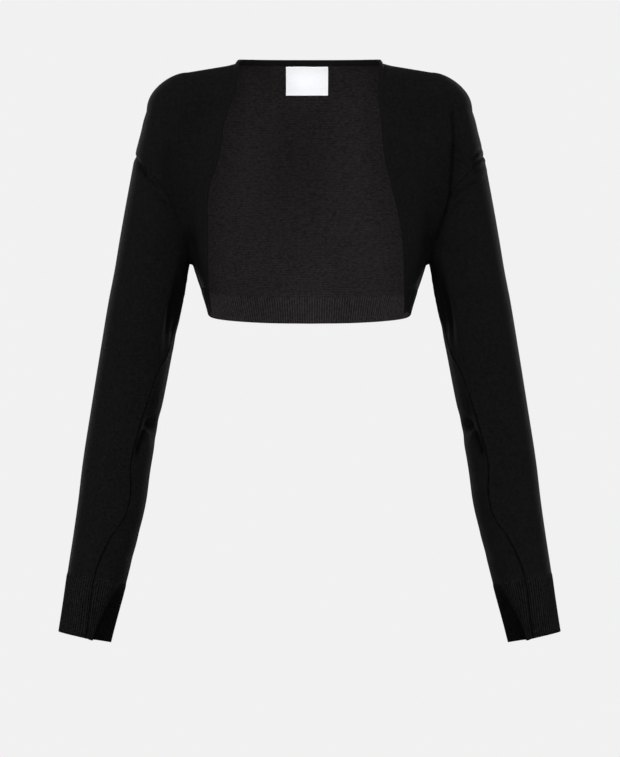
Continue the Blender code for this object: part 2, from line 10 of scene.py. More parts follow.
import bpy
import numpy as np
from bpy.props import FloatProperty, FloatVectorProperty, PointerProperty
from bpy.types import Operator, Panel, PropertyGroup
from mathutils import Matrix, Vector


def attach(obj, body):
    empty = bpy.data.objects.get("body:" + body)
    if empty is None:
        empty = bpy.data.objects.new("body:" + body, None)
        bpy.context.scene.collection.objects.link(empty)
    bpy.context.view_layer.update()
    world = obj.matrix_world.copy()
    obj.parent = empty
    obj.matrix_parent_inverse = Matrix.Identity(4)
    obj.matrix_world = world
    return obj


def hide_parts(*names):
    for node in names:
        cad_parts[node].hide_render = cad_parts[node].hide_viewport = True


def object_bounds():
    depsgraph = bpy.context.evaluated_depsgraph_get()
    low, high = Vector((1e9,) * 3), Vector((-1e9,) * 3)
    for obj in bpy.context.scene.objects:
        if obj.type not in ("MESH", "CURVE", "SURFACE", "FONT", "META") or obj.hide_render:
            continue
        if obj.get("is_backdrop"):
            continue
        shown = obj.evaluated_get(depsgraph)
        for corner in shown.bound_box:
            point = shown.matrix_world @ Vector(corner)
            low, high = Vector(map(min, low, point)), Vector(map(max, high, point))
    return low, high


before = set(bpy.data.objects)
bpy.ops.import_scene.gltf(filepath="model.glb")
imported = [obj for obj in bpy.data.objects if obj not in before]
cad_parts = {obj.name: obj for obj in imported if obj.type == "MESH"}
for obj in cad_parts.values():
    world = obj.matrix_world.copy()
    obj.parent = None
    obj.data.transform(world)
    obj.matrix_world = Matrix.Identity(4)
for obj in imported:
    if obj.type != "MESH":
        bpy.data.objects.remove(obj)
CAD_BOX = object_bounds()

bl_info = {
    "name": "Open-front cardigan",
    "version": (1, 0, 0),
    "blender": (4, 5, 0),
    "location": "3D View > Sidebar > Cardigan",
    "description": "Knits a cropped, open-front cardigan over its packed frame and lights it",
    "category": "Object",
}

MM = 0.001

# How finely lines and nets are worked out.
FINER = 8  # each cut of the frame's nets is cut this many times more
SIDE_CUTS = 2 * FINER
ARMHOLE_CUTS = 10 * FINER  # on the front half, and again on the back half
SHOULDER_CUTS = 10 * FINER
NECK_CUTS = 10 * FINER
HEM_CUTS = 10
SLEEVE_CUTS = 240
CUFF_CUTS = 32
BAND_TURN_CUTS = 5 * FINER
SAMPLES = 600
HALVINGS = 40
SETTLE_ROUNDS = 12
ROUGH_ROUNDS = 30
FINE_ROUNDS = 6
SLOPE_STEP = 0.4 * MM
LONGEST_MOVE = 8 * MM


class Table:
    """Rows of numbers under named columns, read on a smooth curve along the first column.

    Its lengths are in millimetres, and come out in metres. A column of degrees stays as it is.
    """

    def __init__(self, columns, *rows):
        self.columns = columns.split()
        units = [1 if column == "degrees" else MM for column in self.columns]
        self.rows = np.array(sorted(rows)) * units

    def at(self, column, place):
        """The column at a place, or at an array of places, along the first column."""
        keys = self.rows[:, 0]
        values = self.rows[:, self.columns.index(column)]
        slopes = np.gradient(values, keys)
        place = np.clip(place, keys[0], keys[-1])
        low = np.clip(np.searchsorted(keys, place) - 1, 0, len(keys) - 2)
        span = keys[low + 1] - keys[low]
        t = (place - keys[low]) / span
        return (
            (1 + 2 * t) * (1 - t) ** 2 * values[low]
            + t * (1 - t) ** 2 * span * slopes[low]
            + t**2 * (3 - 2 * t) * values[low + 1]
            - t**2 * (1 - t) * span * slopes[low + 1]
        )


# The general figure, which the solids follow too. The ends of the armhole, the top of the arm and
# the blend under it lie a few millimetres from theirs, closer to the photograph.

TORSO = Table(
    "height half_width front back",
    (15, 16, 8, 10),
    (10, 50, 18, 28),
    (5, 68, 27, 39),
    (-2, 85, 37, 48),
    (-30, 116, 60, 72),
    (-60, 134, 76, 86),
    (-100, 146, 90, 97),
    (-150, 149, 98, 102),
    (-200, 147, 99, 102),
    (-240, 141, 97, 100),
    (-260, 135, 95, 98),
    (-280, 128, 93, 96),
    (-300, 122, 91, 93),
    (-316, 118, 89, 91),
)
TORSO_TOP = 14 * MM
TORSO_SQUARE = 2.5
TORSO_LEAST = 0.05
TORSO_REACH = 139 * MM
LONG_REACH = 250 * MM

SHOULDER_START = np.array((60, 3, -36)) * MM
SHOULDER_END = np.array((146, 0, -50.5)) * MM
SHOULDER_RADIUS = 38 * MM
SHOULDER_FLATNESS = 1.2

ARM = Table(
    "height inner outer middle half_depth",
    (-59, 118, 195.5, 0, 45),
    (-70, 118.5, 199, 0, 46.5),
    (-84, 119, 202.3, 0, 48),
    (-106, 122, 208, 0, 50),
    (-142, 127, 215, 0, 50),
    (-214, 138, 228, 1, 49),
    (-250, 145, 234, 2, 48),
    (-286, 151, 241, 3, 47),
    (-340, 162, 250, 3, 46),
    (-412, 176.5, 261.5, 1, 44),
    (-484, 189.5, 272.5, -4, 42),
    (-527, 195.5, 277.5, -8, 41),
    (-570, 205.5, 283.5, -13, 39.5),
    (-613, 216, 290, -18, 38),
    (-642, 222, 294, -21, 37),
    (-682, 231, 300, -26, 36),
    (-700, 235, 303, -28, 36),
)
ARM_TOP = -59 * MM
SHOULDER_BLEND = 6 * MM
BLEND = Table(
    "height reach",
    (0, 8),
    (-25, 16),
    (-60, 26),
    (-140, 24),
    (-200, 17),
    (-240, 7),
    (-260, 6),
)

FRONT_EDGE = Table(
    "height right left",
    (4, 81, 80),
    (-4, 84, 82.5),
    (-22, 86, 82.5),
    (-40, 89.5, 82.5),
    (-55, 95, 83.5),
    (-78, 103, 86),
    (-97, 105, 87.5),
    (-120, 109.5, 90),
    (-133, 113, 93),
    (-146, 119, 96.5),
    (-166, 121.5, 101.5),
    (-196, 122, 108.5),
    (-235, 122, 112.5),
    (-274, 121, 113.5),
    (-300, 118, 114),
    (-316, 113, 112),
)
EDGE_BEND_HEIGHT = -38 * MM
HEM = Table(
    "degrees height",
    (0, -313),
    (35, -312),
    (57, -309.5),
    (76, -306),
    (92, -302),
    (108, -300),
    (180, -300),
)
HEM_FRONT = -300 * MM
HEM_RIB_HEIGHT = 30 * MM
CUFF_RIB_LENGTH = 80 * MM
BAND_WIDTH = 6.5 * MM

ARMHOLE_TOP = -113 * MM
ARMPIT = -242.8 * MM
ARMHOLE_BOW = 15 * MM
CUFF_END_OUTER = -682 * MM
CUFF_END_INNER = -696 * MM
SLEEVE_STRAIGHTENS = 0.45
SLEEVE_EVENS = 0.25
SHOULDER_HUB = np.array((100, 0, -110)) * MM

SLEEVE_SEAM = Table(
    "height degrees",
    (-247, 180),
    (-341, 153),
    (-359, 139),
    (-394, 128),
    (-425, 122),
    (-480, 115),
    (-520, 122),
    (-545, 118),
    (-566, 103),
    (-600, 89),
    (-690, 90),
)
SEAM_LOOPS = np.array((-1.5, -1, -0.65, -0.4, -0.2, 0, 0.2, 0.4, 0.65, 1, 1.5))  # in columns
SEAM_COLUMN = ARMHOLE_CUTS - 1 + len(SEAM_LOOPS) // 2  # of a sleeve's net

# Soft troughs, and ridges where the depth is below nought, seen from the front or the back:
# from one point to another, by half their width and their depth, and some by the shade painted in
# them.
# BODY_FOLDS are the frame's own, and the others are the finer ones that lie between them.
BODY_FOLDS = (
    # face, start across, start height, end across, end height, half width, depth
    ("front", 170, -48, 173, -112, 9, 3.0),
    ("front", 173, -112, 149, -222, 9, 3.5),
    ("front", -166, -60, -168, -120, 10, 1.8),
    ("front", -168, -120, -150, -222, 9, 2.5),
    ("back", 168, -70, 150, -225, 10, 3.0),
    ("back", -170, -64, -151, -228, 10, 3.0),
    ("back", 60, -262, 104, -196, 12, 1.6),
    ("back", -48, -258, -98, -188, 12, 1.4),
)
GATHERS = (
    # the short creases that cross the armhole seams
    ("front", 206, -104, 196, -117, 2.4, 1.7),
    ("front", 209, -112, 196, -126, 2.0, 1.5),
    ("front", 210, -118, 199, -130, 1.8, -0.9),
    ("front", 209, -122, 198, -134, 2.0, 1.5),
    ("front", 211, -130, 202, -139, 1.8, -0.8),
    ("front", 199, -144, 172, -162, 2.3, 1.3),
    ("front", 184, -168, 162, -182, 2.6, 1.1),
    ("front", -211, -112, -196, -136, 2.3, 1.6),
    ("front", -204, -128, -184, -150, 2.2, 1.3),
    ("front", -190, -154, -170, -172, 2.6, 1.1),
    # the sharp line down the middle of the left front's long fold
    ("front", 171.5, -62, 173, -100, 1.9, 1.5),
    ("front", 173, -100, 167, -160, 1.9, 1.8),
    ("front", 167, -160, 150, -214, 2.1, 1.6),
    ("front", -166, -96, -168, -140, 2.6, 0.9),
    ("back", 208, -116, 188, -138, 2.6, 1.2),
    ("back", 200, -134, 178, -154, 2.4, 1.0),
    ("back", -209, -114, -186, -140, 2.6, 1.3),
    ("back", -196, -142, -176, -158, 2.4, 0.9),
)
SOFT_DRAPE = (
    # beside the armpits, where the sleeves shade the fronts: shallow troughs with painted shade,
    # the last number
    ("front", -142, -210, -132, -282, 7, 1.6, 0.65),
    ("front", 142, -214, 132, -280, 7, 1.4, 0.4),
    # broad and shallow, where the cloth eases over the chest, the shoulder blades and the hem
    ("front", 118, -60, 128, -150, 14, 0.8),
    ("front", 140, -250, 128, -292, 8, 1.2),
    ("front", -126, -70, -134, -160, 14, 0.8),
    ("front", -140, -246, -130, -290, 8, 1.2),
    ("back", 22, -286, 44, -210, 14, 0.9),
    ("back", -14, -280, -30, -220, 12, 0.7),
    ("back", 96, -96, 130, -62, 12, 1.0),
    ("back", -92, -104, -132, -64, 12, 1.0),
)

# Soft troughs in both sleeves: height, degrees round from the outer line, half length along
# the sleeve, half width round it, and depth. Those of one sleeve start with its side: +1 is
# the wearer's left.
SLEEVE_DENTS = (
    # the frame's own
    (-433, 160, 16, 20, 2.5),
    (-300, 145, 26, 18, 2.5),
    (-352, 215, 24, 20, 2.5),
    (-500, 215, 26, 20, 2.5),
    (-560, 60, 24, 20, 1.5),
    (-705, 138, 62, 22, 11.0),
    # under the arm, where the cloth turns away from the front
    (-290, 144, 50, 9, 7.0),
    (-292, 164, 54, 9, 4.5),
    # the hollow of the cuff's inner corner, with its steeper side
    (-704, 146, 38, 21, 17.0),
    (-655, 157, 26, 14, 8.0),
)
PAINTED_SHADOWS = (
    # painted shadow under the arm and in the cuff's inner corner, where the cloth turns in: a
    # small depth, and how much shade is painted there
    (-296, 160, 56, 15, 0.5, 0.75),
    (-706, 158, 52, 22, 0.5, 1.2),
    (-664, 168, 34, 15, 0.5, 0.6),
)
SIDE_DENTS = (
    # the wrinkles inside the elbow, and the ones that run down from them beside the seam
    (1, -436, 147, 8, 12, 8.0),
    (1, -450, 131, 9, 5, 5.0),
    (1, -464, 125, 9, 4.5, 4.5),
    (1, -414, 137, 10, 5, 2.6),
    (-1, -435, 147, 8, 12, 8.5),
    (-1, -449, 131, 9, 5, 5.2),
    (-1, -463, 125, 9, 4.5, 4.6),
    (-1, -411, 138, 10, 5, 2.6),
    (1, -545, 130, 7, 6, 2.4),
    (-1, -548, 128, 7, 6, 2.4),
    # single creases, uneven from one sleeve to the other
    (1, -424, 148, 7, 26, 1.2),
    (1, -447, 166, 8, 24, 1.2),
    (1, -392, 60, 30, 14, 0.7),
    (1, -286, 110, 9, 22, 0.9),
    (1, -318, 168, 10, 22, 1.2),
    (1, -556, 140, 9, 20, 1.3),
    (1, -586, 158, 10, 16, 1.2),
    (1, -470, 230, 12, 26, 1.0),
    (1, -540, 250, 14, 24, 0.9),
    (-1, -428, 150, 8, 26, 1.3),
    (-1, -452, 164, 8, 22, 1.0),
    (-1, -380, 66, 28, 14, 0.7),
    (-1, -290, 118, 9, 24, 0.8),
    (-1, -326, 166, 10, 22, 1.1),
    (-1, -562, 142, 9, 20, 1.3),
    (-1, -594, 160, 10, 16, 1.1),
    (-1, -462, 226, 12, 26, 1.0),
    (-1, -530, 252, 14, 24, 0.9),
)


def mirrored(points, side):
    """Points of the wearer's left as they lie on a side: +1 is left and -1 is right."""
    return points * np.array((side, 1, 1))


def unit(vectors):
    return vectors / np.linalg.norm(vectors, axis=-1, keepdims=True)


def blended(a, b, reach):
    """The lesser of two distances, rounded off where they are nearly equal."""
    near = np.maximum(reach - np.abs(a - b), 0) / reach
    return np.minimum(a, b) - near**2 * reach / 4


def torso_distance(x, y, z):
    across = np.abs(x) / TORSO.at("half_width", z)
    deep = np.abs(y) / np.where(y < 0, TORSO.at("front", z), TORSO.at("back", z))
    share = (across**TORSO_SQUARE + deep**TORSO_SQUARE) ** (1 / TORSO_SQUARE)
    aside = np.hypot(x, y) * (1 - 1 / np.maximum(share, TORSO_LEAST))
    return np.maximum(aside, z - TORSO_TOP)


def ball_distance(aside, deep, high, radius):
    return np.sqrt(aside**2 + deep**2 + high**2) - radius


def shoulder_distance(x, y, z):
    run = SHOULDER_END - SHOULDER_START
    along = np.clip((np.abs(x) - SHOULDER_START[0]) / run[0], 0, 1)
    middle = SHOULDER_START + along[..., None] * run
    deep = (y - middle[..., 1]) / SHOULDER_FLATNESS
    return ball_distance(np.abs(x) - middle[..., 0], deep, z - middle[..., 2], SHOULDER_RADIUS)


def arm_distance(x, y, z):
    height = np.minimum(z, ARM_TOP)
    inner = ARM.at("inner", height)
    outer = ARM.at("outer", height)
    half = (outer - inner) / 2
    flatness = ARM.at("half_depth", height) / half
    deep = (y - ARM.at("middle", height)) / flatness
    return ball_distance(np.abs(x) - (inner + outer) / 2, deep, z - height, half)


def distance(points):
    """About how far points lie outside the figure, below nought inside it."""
    x, y, z = points[..., 0], points[..., 1], points[..., 2]
    limb = blended(shoulder_distance(x, y, z), arm_distance(x, y, z), SHOULDER_BLEND)
    return blended(torso_distance(x, y, z), limb, BLEND.at("reach", z))


def gradient(points):
    parts = []
    for step in SLOPE_STEP * np.eye(3):
        parts.append((distance(points + step) - distance(points - step)) / (2 * SLOPE_STEP))
    return np.stack(parts, axis=-1)


def outward(points):
    return unit(gradient(points))


def settled(points, rounds=SETTLE_ROUNDS):
    """Points moved square to the figure until they lie on it."""
    for _ in range(rounds):
        slope = gradient(points)
        share = distance(points) / (slope**2).sum(axis=-1)
        points = points - np.clip(share, -LONGEST_MOVE, LONGEST_MOVE)[..., None] * slope
    return points


def cast(starts, directions, reach=LONG_REACH):
    """Where lines from inside the figure leave it."""
    low = np.zeros(np.broadcast(starts, directions).shape[:-1])
    high = low + reach
    for _ in range(HALVINGS):
        middle = (low + high) / 2
        inside = distance(starts + middle[..., None] * directions) < 0
        low = np.where(inside, middle, low)
        high = np.where(inside, high, middle)
    return starts + low[..., None] * directions


def level(angles):
    """Level directions, at angles from +X towards +Y."""
    return np.stack((np.cos(angles), np.sin(angles), np.zeros_like(angles)), axis=1)


def on_axis(heights):
    """Points on the upright line through the origin."""
    return np.stack((np.zeros_like(heights), np.zeros_like(heights), heights), axis=-1)


def read_off(curve, along, places):
    """Points of a curve at places, where along says how far each of its own points lies."""
    return np.stack([np.interp(places, along, curve[:, k]) for k in range(3)], axis=1)


def spaced(curve, cuts):
    """A curve's points again, the same length apart."""
    steps = np.linalg.norm(np.diff(curve, axis=0), axis=1)
    along = np.concatenate(([0], np.cumsum(steps)))
    return read_off(curve, along, np.linspace(0, along[-1], cuts + 1))


def along_curve(curve):
    return unit(np.gradient(curve, axis=0))


# Seam lines, each a list of points that the pieces on both sides of it share.


def armhole_ring(outer_height, inner_height, bow, angles):
    """A ring round the arm between two heights, curved towards the neck at front and back."""
    nought = np.zeros_like(outer_height)
    outer = np.stack((ARM.at("outer", outer_height), nought, outer_height), axis=-1)
    inner = np.stack((ARM.at("inner", inner_height), nought, inner_height), axis=-1)
    middle_height = (outer_height + inner_height) / 2
    half = (outer - inner) / 2
    square = unit(np.stack((-half[..., 2], nought, half[..., 0]), axis=-1))
    shift = np.stack((nought, ARM.at("middle", middle_height), nought), axis=-1)
    deep = np.stack((nought, ARM.at("half_depth", middle_height), nought), axis=-1)
    turn = angles[..., None]
    return (
        (outer + inner) / 2
        + shift
        + half * np.cos(turn)
        - deep * np.sin(turn)
        + square * np.asarray(bow)[..., None] * np.sin(turn) ** 2
    )


def armhole():
    """The whole armhole seam: from its top down the front to the armpit and up the back."""
    angles = np.linspace(0, 2 * np.pi, 2 * SAMPLES + 1)
    top, pit = np.array(ARMHOLE_TOP), np.array(ARMPIT)
    ring = settled(armhole_ring(top, pit, ARMHOLE_BOW, angles))
    half = len(ring) // 2
    front = spaced(ring[: half + 1], ARMHOLE_CUTS)
    back = spaced(ring[half:], ARMHOLE_CUTS)
    seam = np.concatenate((front, back[1:-1]))
    nearest = np.linalg.norm(ring[None, :-1] - seam[:, None], axis=-1).argmin(axis=1)
    return seam, angles[nearest]


def front_edge(side):
    """The band's free edge down one front, from over the shoulder to the hem."""
    column = "left" if side > 0 else "right"
    over = np.linspace(0, np.pi / 2, SAMPLES // 4)[:-1]
    down = np.linspace(EDGE_BEND_HEIGHT, HEM_FRONT - 2 * BAND_WIDTH, SAMPLES)
    heights = np.concatenate((EDGE_BEND_HEIGHT * (1 - np.cos(over)), down))
    across = FRONT_EDGE.at(column, heights)
    starts = np.stack((across, 0 * across, np.minimum(heights, EDGE_BEND_HEIGHT)), axis=1)
    directions = np.zeros_like(starts)
    directions[:, 1] = -1
    directions[: len(over), 1] = -np.sin(over)
    directions[: len(over), 2] = np.cos(over)
    return cast(starts, directions)


def beside_edge(edge):
    """The seam between a front and its band: a band's width from the free edge."""
    aside = unit(np.cross(outward(edge), along_curve(edge)))
    aside *= np.sign(aside[:, :1])
    return settled(edge + BAND_WIDTH * aside)


def shoulder_seam(neck_point, armhole_top):
    """Over the shoulder from the neck to the top of the armhole, cast from inside the chest."""
    first, last = neck_point - SHOULDER_HUB, armhole_top - SHOULDER_HUB
    angles = np.linspace(np.arctan2(first[2], first[0]), np.arctan2(last[2], last[0]), SAMPLES)
    curve = cast(SHOULDER_HUB, level(angles)[:, (0, 2, 1)])
    curve[0], curve[-1] = neck_point, armhole_top
    return spaced(curve, SHOULDER_CUTS)


def back_neck(neck_point):
    """From the wearer's left shoulder point round the back of the neck to the right one."""
    curve = cast(on_axis(neck_point[2]), level(np.linspace(0, np.pi, SAMPLES)))
    curve[0], curve[-1] = neck_point, mirrored(neck_point, -1)
    return spaced(curve, NECK_CUTS)


def ring_round_back(first, last, lift):
    """Level with the hem and a lift above it, from the left band seam round to the right one."""
    start = np.arctan2(first[1], first[0])
    end = np.arctan2(last[1], last[0]) % (2 * np.pi)
    parts = []
    for low, high, cuts in (
        (start, 0, SHOULDER_CUTS),
        (0, np.pi, 2 * SHOULDER_CUTS + NECK_CUTS),
        (np.pi, end, SHOULDER_CUTS),
    ):
        angles = np.linspace(low, high, SAMPLES)
        heights = HEM.at("height", np.abs(np.degrees(angles) - 90)) + lift
        parts.append(spaced(cast(on_axis(heights), level(angles), TORSO_REACH), cuts))
    parts[0][0], parts[-1][-1] = first, last
    return parts


def side_seam(foot, armpit):
    """Up the side from the hem rib to the armpit."""
    heights = np.linspace(foot[2], armpit[2], SIDE_CUTS + 1)
    curve = cast(on_axis(heights), np.array((1, 0, 0)), TORSO_REACH)
    curve[0], curve[-1] = foot, armpit
    return curve


def evened(net, rounds):
    """A net with its inner points evened out on the figure."""
    for _ in range(rounds):
        around = net[:-2, 1:-1] + net[2:, 1:-1] + net[1:-1, :-2] + net[1:-1, 2:]
        net[1:-1, 1:-1] = settled(around / 4, rounds=2)
    return net


def patched(bottom, top, start, end):
    """A net of points between four seam lines."""
    u = np.linspace(0, 1, len(bottom))[None, :, None]
    v = np.linspace(0, 1, len(start))[:, None, None]
    net = (1 - v) * bottom + v * top + (1 - u) * start[:, None] + u * end[:, None]
    net = net - (1 - v) * ((1 - u) * bottom[0] + u * bottom[-1])
    return net - v * ((1 - u) * top[0] + u * top[-1])


def filled_in(net, times):
    """A net with new points along its straight cells, so many to each."""
    for axis in (0, 1):
        old = np.arange(net.shape[axis])
        new = np.linspace(0, old[-1], times * old[-1] + 1)
        low = np.minimum(new.astype(int), old[-1] - 1)
        share = (new - low).reshape((-1, 1, 1) if axis == 0 else (1, -1, 1))
        net = net.take(low, axis) * (1 - share) + net.take(low + 1, axis) * share
    return net


def net_between(bottom, top, start, end):
    """A fine net between four seam lines: evened out sparsely first, then filled in."""
    rough = evened(patched(*(line[::FINER] for line in (bottom, top, start, end))), ROUGH_ROUNDS)
    net = filled_in(rough, FINER)
    shift = patched(bottom - net[0], top - net[-1], start - net[:, 0], end - net[:, -1])
    return evened(settled(net + shift), FINE_ROUNDS)


class Lines:
    """All seam lines, worked out once. Side +1 is the wearer's left and -1 the right."""

    def __init__(self):
        lifts = np.linspace(0, HEM_RIB_HEIGHT, HEM_CUTS + 1)
        self.armhole, self.armhole_angles = armhole()
        dense = {side: beside_edge(front_edge(side)) for side in (1, -1)}
        neck_point = (dense[1][0] + dense[-1][0]) / 2
        self.neck_point = settled(neck_point * np.array((1, 0, 1)))
        self.shoulder = shoulder_seam(self.neck_point, self.armhole[0])
        self.neck = back_neck(self.neck_point)
        self.band_seam = {}
        for side, curve in dense.items():
            curve = mirrored(curve[::-1], side)
            curve[-1] = mirrored(self.neck_point, side)
            levels = HEM_FRONT + lifts
            lower = read_off(curve, curve[:, 2], levels)
            upper = np.concatenate((lower[-1:], curve[curve[:, 2] > levels[-1]]))
            upper = spaced(upper, SIDE_CUTS + ARMHOLE_CUTS)
            self.band_seam[side] = np.concatenate((lower[:-1], upper))
        self.rings = []
        for row, lift in enumerate(lifts):
            first, last = self.band_seam[1][row], self.band_seam[-1][row]
            self.rings.append(ring_round_back(first, last, lift))
        self.side = side_seam(self.rings[-1][1][0], self.armhole[ARMHOLE_CUTS])
        front_half = self.armhole[ARMHOLE_CUTS::-1]
        back_half = np.concatenate((self.armhole[ARMHOLE_CUTS:], self.armhole[:1]))
        self.front_side = np.concatenate((self.side[:-1], front_half))
        self.back_side = np.concatenate((self.side[:-1], back_half))


# Folds.

STEEP_FROM, STEEPER = 0.25, 1.4  # a fold as deep as it is wide gets its full painted shade, a soft one none
FACE_EASE = 6 * MM  # a fold of the front or the back fades out over this depth at the side


def folds(points):
    """How deep the body's folds press each point in, and the shade painted there, from nought to
    one: by the folds' steepness, or by a row's own amount.
    """
    depth, shading = np.zeros((2, *points.shape[:-1]))
    facing = np.clip(0.5 - points[..., 1] / (2 * FACE_EASE), 0, 1)
    for face, x0, z0, x1, z1, half_width, deep, *dark in (*BODY_FOLDS, *GATHERS, *SOFT_DRAPE):
        start = np.array((x0, z0)) * MM
        run = np.array((x1, z1)) * MM - start
        flat = points[..., (0, 2)] - start
        share = np.clip((flat @ run) / (run @ run), 0, 1)
        away = np.linalg.norm(flat - share[..., None] * run, axis=-1)
        on_face = facing if face == "front" else 1 - facing
        bell = on_face * np.exp(-((away / (half_width * MM)) ** 2))
        depth += deep * MM * bell
        # steep folds get painted shade, unless a row gives its own amount
        steep = STEEPER * max(deep / half_width - STEEP_FROM, 0)
        shading += (*dark, steep)[0] * bell
    return depth, np.clip(shading, 0, 1)


def dents(points, angles, side):
    """The same for the sleeve's troughs and its painted shadows, by each point's height and its
    angle.
    """
    depth, shading = np.zeros((2, *points.shape[:-1]))
    radius = ARM.at("half_depth", points[..., 2])
    own = [row[1:] for row in SIDE_DENTS if row[0] == side]
    for height, degrees, half_length, half_width, deep, *dark in (*SLEEVE_DENTS, *own, *PAINTED_SHADOWS):
        turn = (angles - np.radians(degrees) + np.pi) % (2 * np.pi) - np.pi
        round_it = turn * radius / (half_width * MM)
        down_it = (points[..., 2] - height * MM) / (half_length * MM)
        bell = np.exp(-(round_it**2) - down_it**2)
        depth += deep * MM * bell
        # steep troughs get painted shade, unless a row gives its own amount
        steep = STEEPER * max(deep / min(half_length, half_width) - STEEP_FROM, 0)
        shading += (*dark, steep)[0] * bell
    return depth, np.clip(shading, 0, 1)


# Shells of cloth.

SEAM_LAP = 0.05 * MM  # each piece reaches this far past its seams, so that no slit shows
SEAM_HALF_WIDTH = 1.4 * MM
BAND_SEAM_SHARE = 0.3  # the seams of the edge band are this much flatter than the others
BAND_EASE = 9 * MM  # folds fade out over this length beside the band
SEAM_DEEPENS = 10 * MM  # the shoulder seam gets its full depth this far from the neck
WELT_RISE, WELT_HALF_WIDTH = 1.0 * MM, 2.4 * MM
GROOVE_DEPTH, GROOVE_HALF_WIDTH = 2.8 * MM, 1.1 * MM
# The welt's height comes and goes by these shares, once in 15 and in 9 mm, from these angles.
WELT_WAVES = ((0.3, 2.4 * MM, 0), (0.2, 1.44 * MM, 1))
WELT_STARTS = 20 * MM  # it has its full height this far from the armhole
LINE_WAVE, LINE_FADES = 14 * MM, 0.25  # the shade painted on the seam's line comes and goes by this share
SLEEVE_EASE = 14 * MM  # the sleeve's own troughs start this far from the armhole
SEAM_SHADE, GROOVE_SHADE = 0.35, 0.9  # how much shade is painted along the seams' sunk lines, as for a fold's steepness
RIB_EASE = 5 * MM  # ribs rise over this length from where they join the plain knit
RIB_SINKS, RIB_SINKS_INSIDE = 0.35, 0.5  # the share of a rib's rise that lies between the ribs
LOOP_SHARES = (0.28, 0.6)  # where rows are added, from an edge to the next row
END_HALF, END_REACH = 0.5, 0.7  # a free edge's last row, in halves of the cloth's thickness
BAND_TURNS = 3  # the band lies in its own plane from a third of the way across it
BAND_SECTION = (
    # how far across the band, and its share of the full thickness there; it starts within the
    # wall of the cloth that it finishes
    (-0.05, 0.35),
    (0.06, 0.62),
    (0.14, 0.85),
    (0.28, 0.98),
    (0.45, 1.0),
    (0.62, 1.0),
    (0.78, 0.94),
    (0.9, 0.76),
    (0.97, 0.5),
    (1.0, 0.2),
)
LABEL_ACROSS = (-28.5, 22.5)
LABEL_HEIGHTS = (-36.5, -2.5)
LABEL_CUTS = (34, 24)
LABEL_CLOTH = 0.8 * MM
LABEL_CLEAR = 0.4 * MM
LABEL_RIPPLE = 0.15 * MM
LABEL_WAVE_ACROSS, LABEL_WAVE_UP = 6 * MM, 9 * MM
FIBRE_CLUMP = 2.2 * MM  # the yarn's mottling, coarser than its real fuzz, too fine to show
FIBRE_STRETCH = (0.6, 0.6, 1)  # drawn out along the rows of stitches
FIBRE_STRENGTH, FIBRE_SHIFT = 2.0, -0.85
YARN_STRENGTH = 0.75  # how much of the tone follows the relief, as painted shade between the yarns; the mottling gives the rest
MAP = "knit"  # each shell's UV map, in metres: across the wales, then along them
SHADE_ATTRIBUTE = "painted_shade"  # the attribute that holds how much shade is painted on the cloth: from the steepness of its folds, along its seams, and in its painted shadows
# how much darker the painted shade makes the cloth where it is full
CREASE_SHADE = 0.7
SHARP_ABOVE = np.radians(65)
RIB_POINTS = 6  # round each rib
ROOT = "root"

# The studio.
FLOOR_RADIUS = 3.5
FLOOR_HEIGHT = -0.9
DOME_RADIUS = 30
PAPER_GLOW = 0.88
ROOM_LIGHT = 0.22
CAMERA_PLACE = (0.0006, -10, -0.3798)
CAMERA_LENS = 36 * 10 / 0.9084  # the photo's frame is 908.4 mm high
CAMERA_REACH = 100
LIGHT_AIM = (0, 0, -0.35)
LIGHTS = (
    # name, place, width and height, power in watts
    ("key_softbox", (-2.9, -4.2, 0.5), (1.5, 1.8), 150),
    ("fill_softbox", (2.9, -4.2, 0.3), (1.5, 1.8), 110),
    ("camera_softbox", (0.1, -5.6, 0.5), (2.2, 1.4), 190),
    ("side_softbox_left", (-5.0, 0.2, 0.1), (1.5, 2.2), 85),
    ("side_softbox_right", (5.0, 0.2, 0.1), (1.5, 2.2), 85),
    ("back_softbox_left", (-2.6, 4.6, 0.4), (1.8, 1.8), 190),
    ("back_softbox_right", (2.6, 4.6, 0.6), (1.8, 1.8), 230),
    ("top_softbox", (0, 0.4, 4.5), (1.8, 1.8), 70),
)


def lengths(net, axis):
    """How far each point of a net lies along its row or column."""
    steps = np.linalg.norm(np.diff(net, axis=axis), axis=-1)
    first = np.zeros_like(steps.take([0], axis))
    return np.concatenate((first, np.cumsum(steps, axis=axis)), axis=axis)


def closed_up(net):
    """A net that wraps round, with its first column once more after its last."""
    return np.concatenate((net, net[:, :1]), axis=1)


def knit_map(net, middle):
    """The map of a net's knit: wales run up its columns, counted from a middle one."""
    across = lengths(net, 1)
    return np.stack((across - across[:, middle : middle + 1], lengths(net, 0)), axis=-1)


def near_edge(net, edge):
    """How far each point of a net lies from one of its edges, along its rows or columns."""
    axis = 0 if edge in ("bottom", "top") else 1
    away = lengths(net, axis)
    return away if edge in ("bottom", "start") else away.take([-1], axis) - away


def seam_dip(net, edges):
    """How far a net sinks in beside its seams: wholly on them, times the edge's own share."""
    dip = np.zeros(net.shape[:2])
    for edge, share in edges.items():
        dip = np.maximum(dip, share * np.exp(-((near_edge(net, edge) / SEAM_HALF_WIDTH) ** 2)))
    return dip


def from_edge(net, edge):
    """A view of the same net whose first row is one of its edges."""
    if edge in ("start", "end"):
        net = np.moveaxis(net, 1, 0)
    return net[::-1] if edge in ("top", "end") else net


def lapped(net, edges):
    """A net whose given edges reach a little past their seam line."""
    net = net.copy()
    for edge in edges:
        rows = from_edge(net, edge)
        rows[0] -= SEAM_LAP * unit(rows[1] - rows[0])
    return net


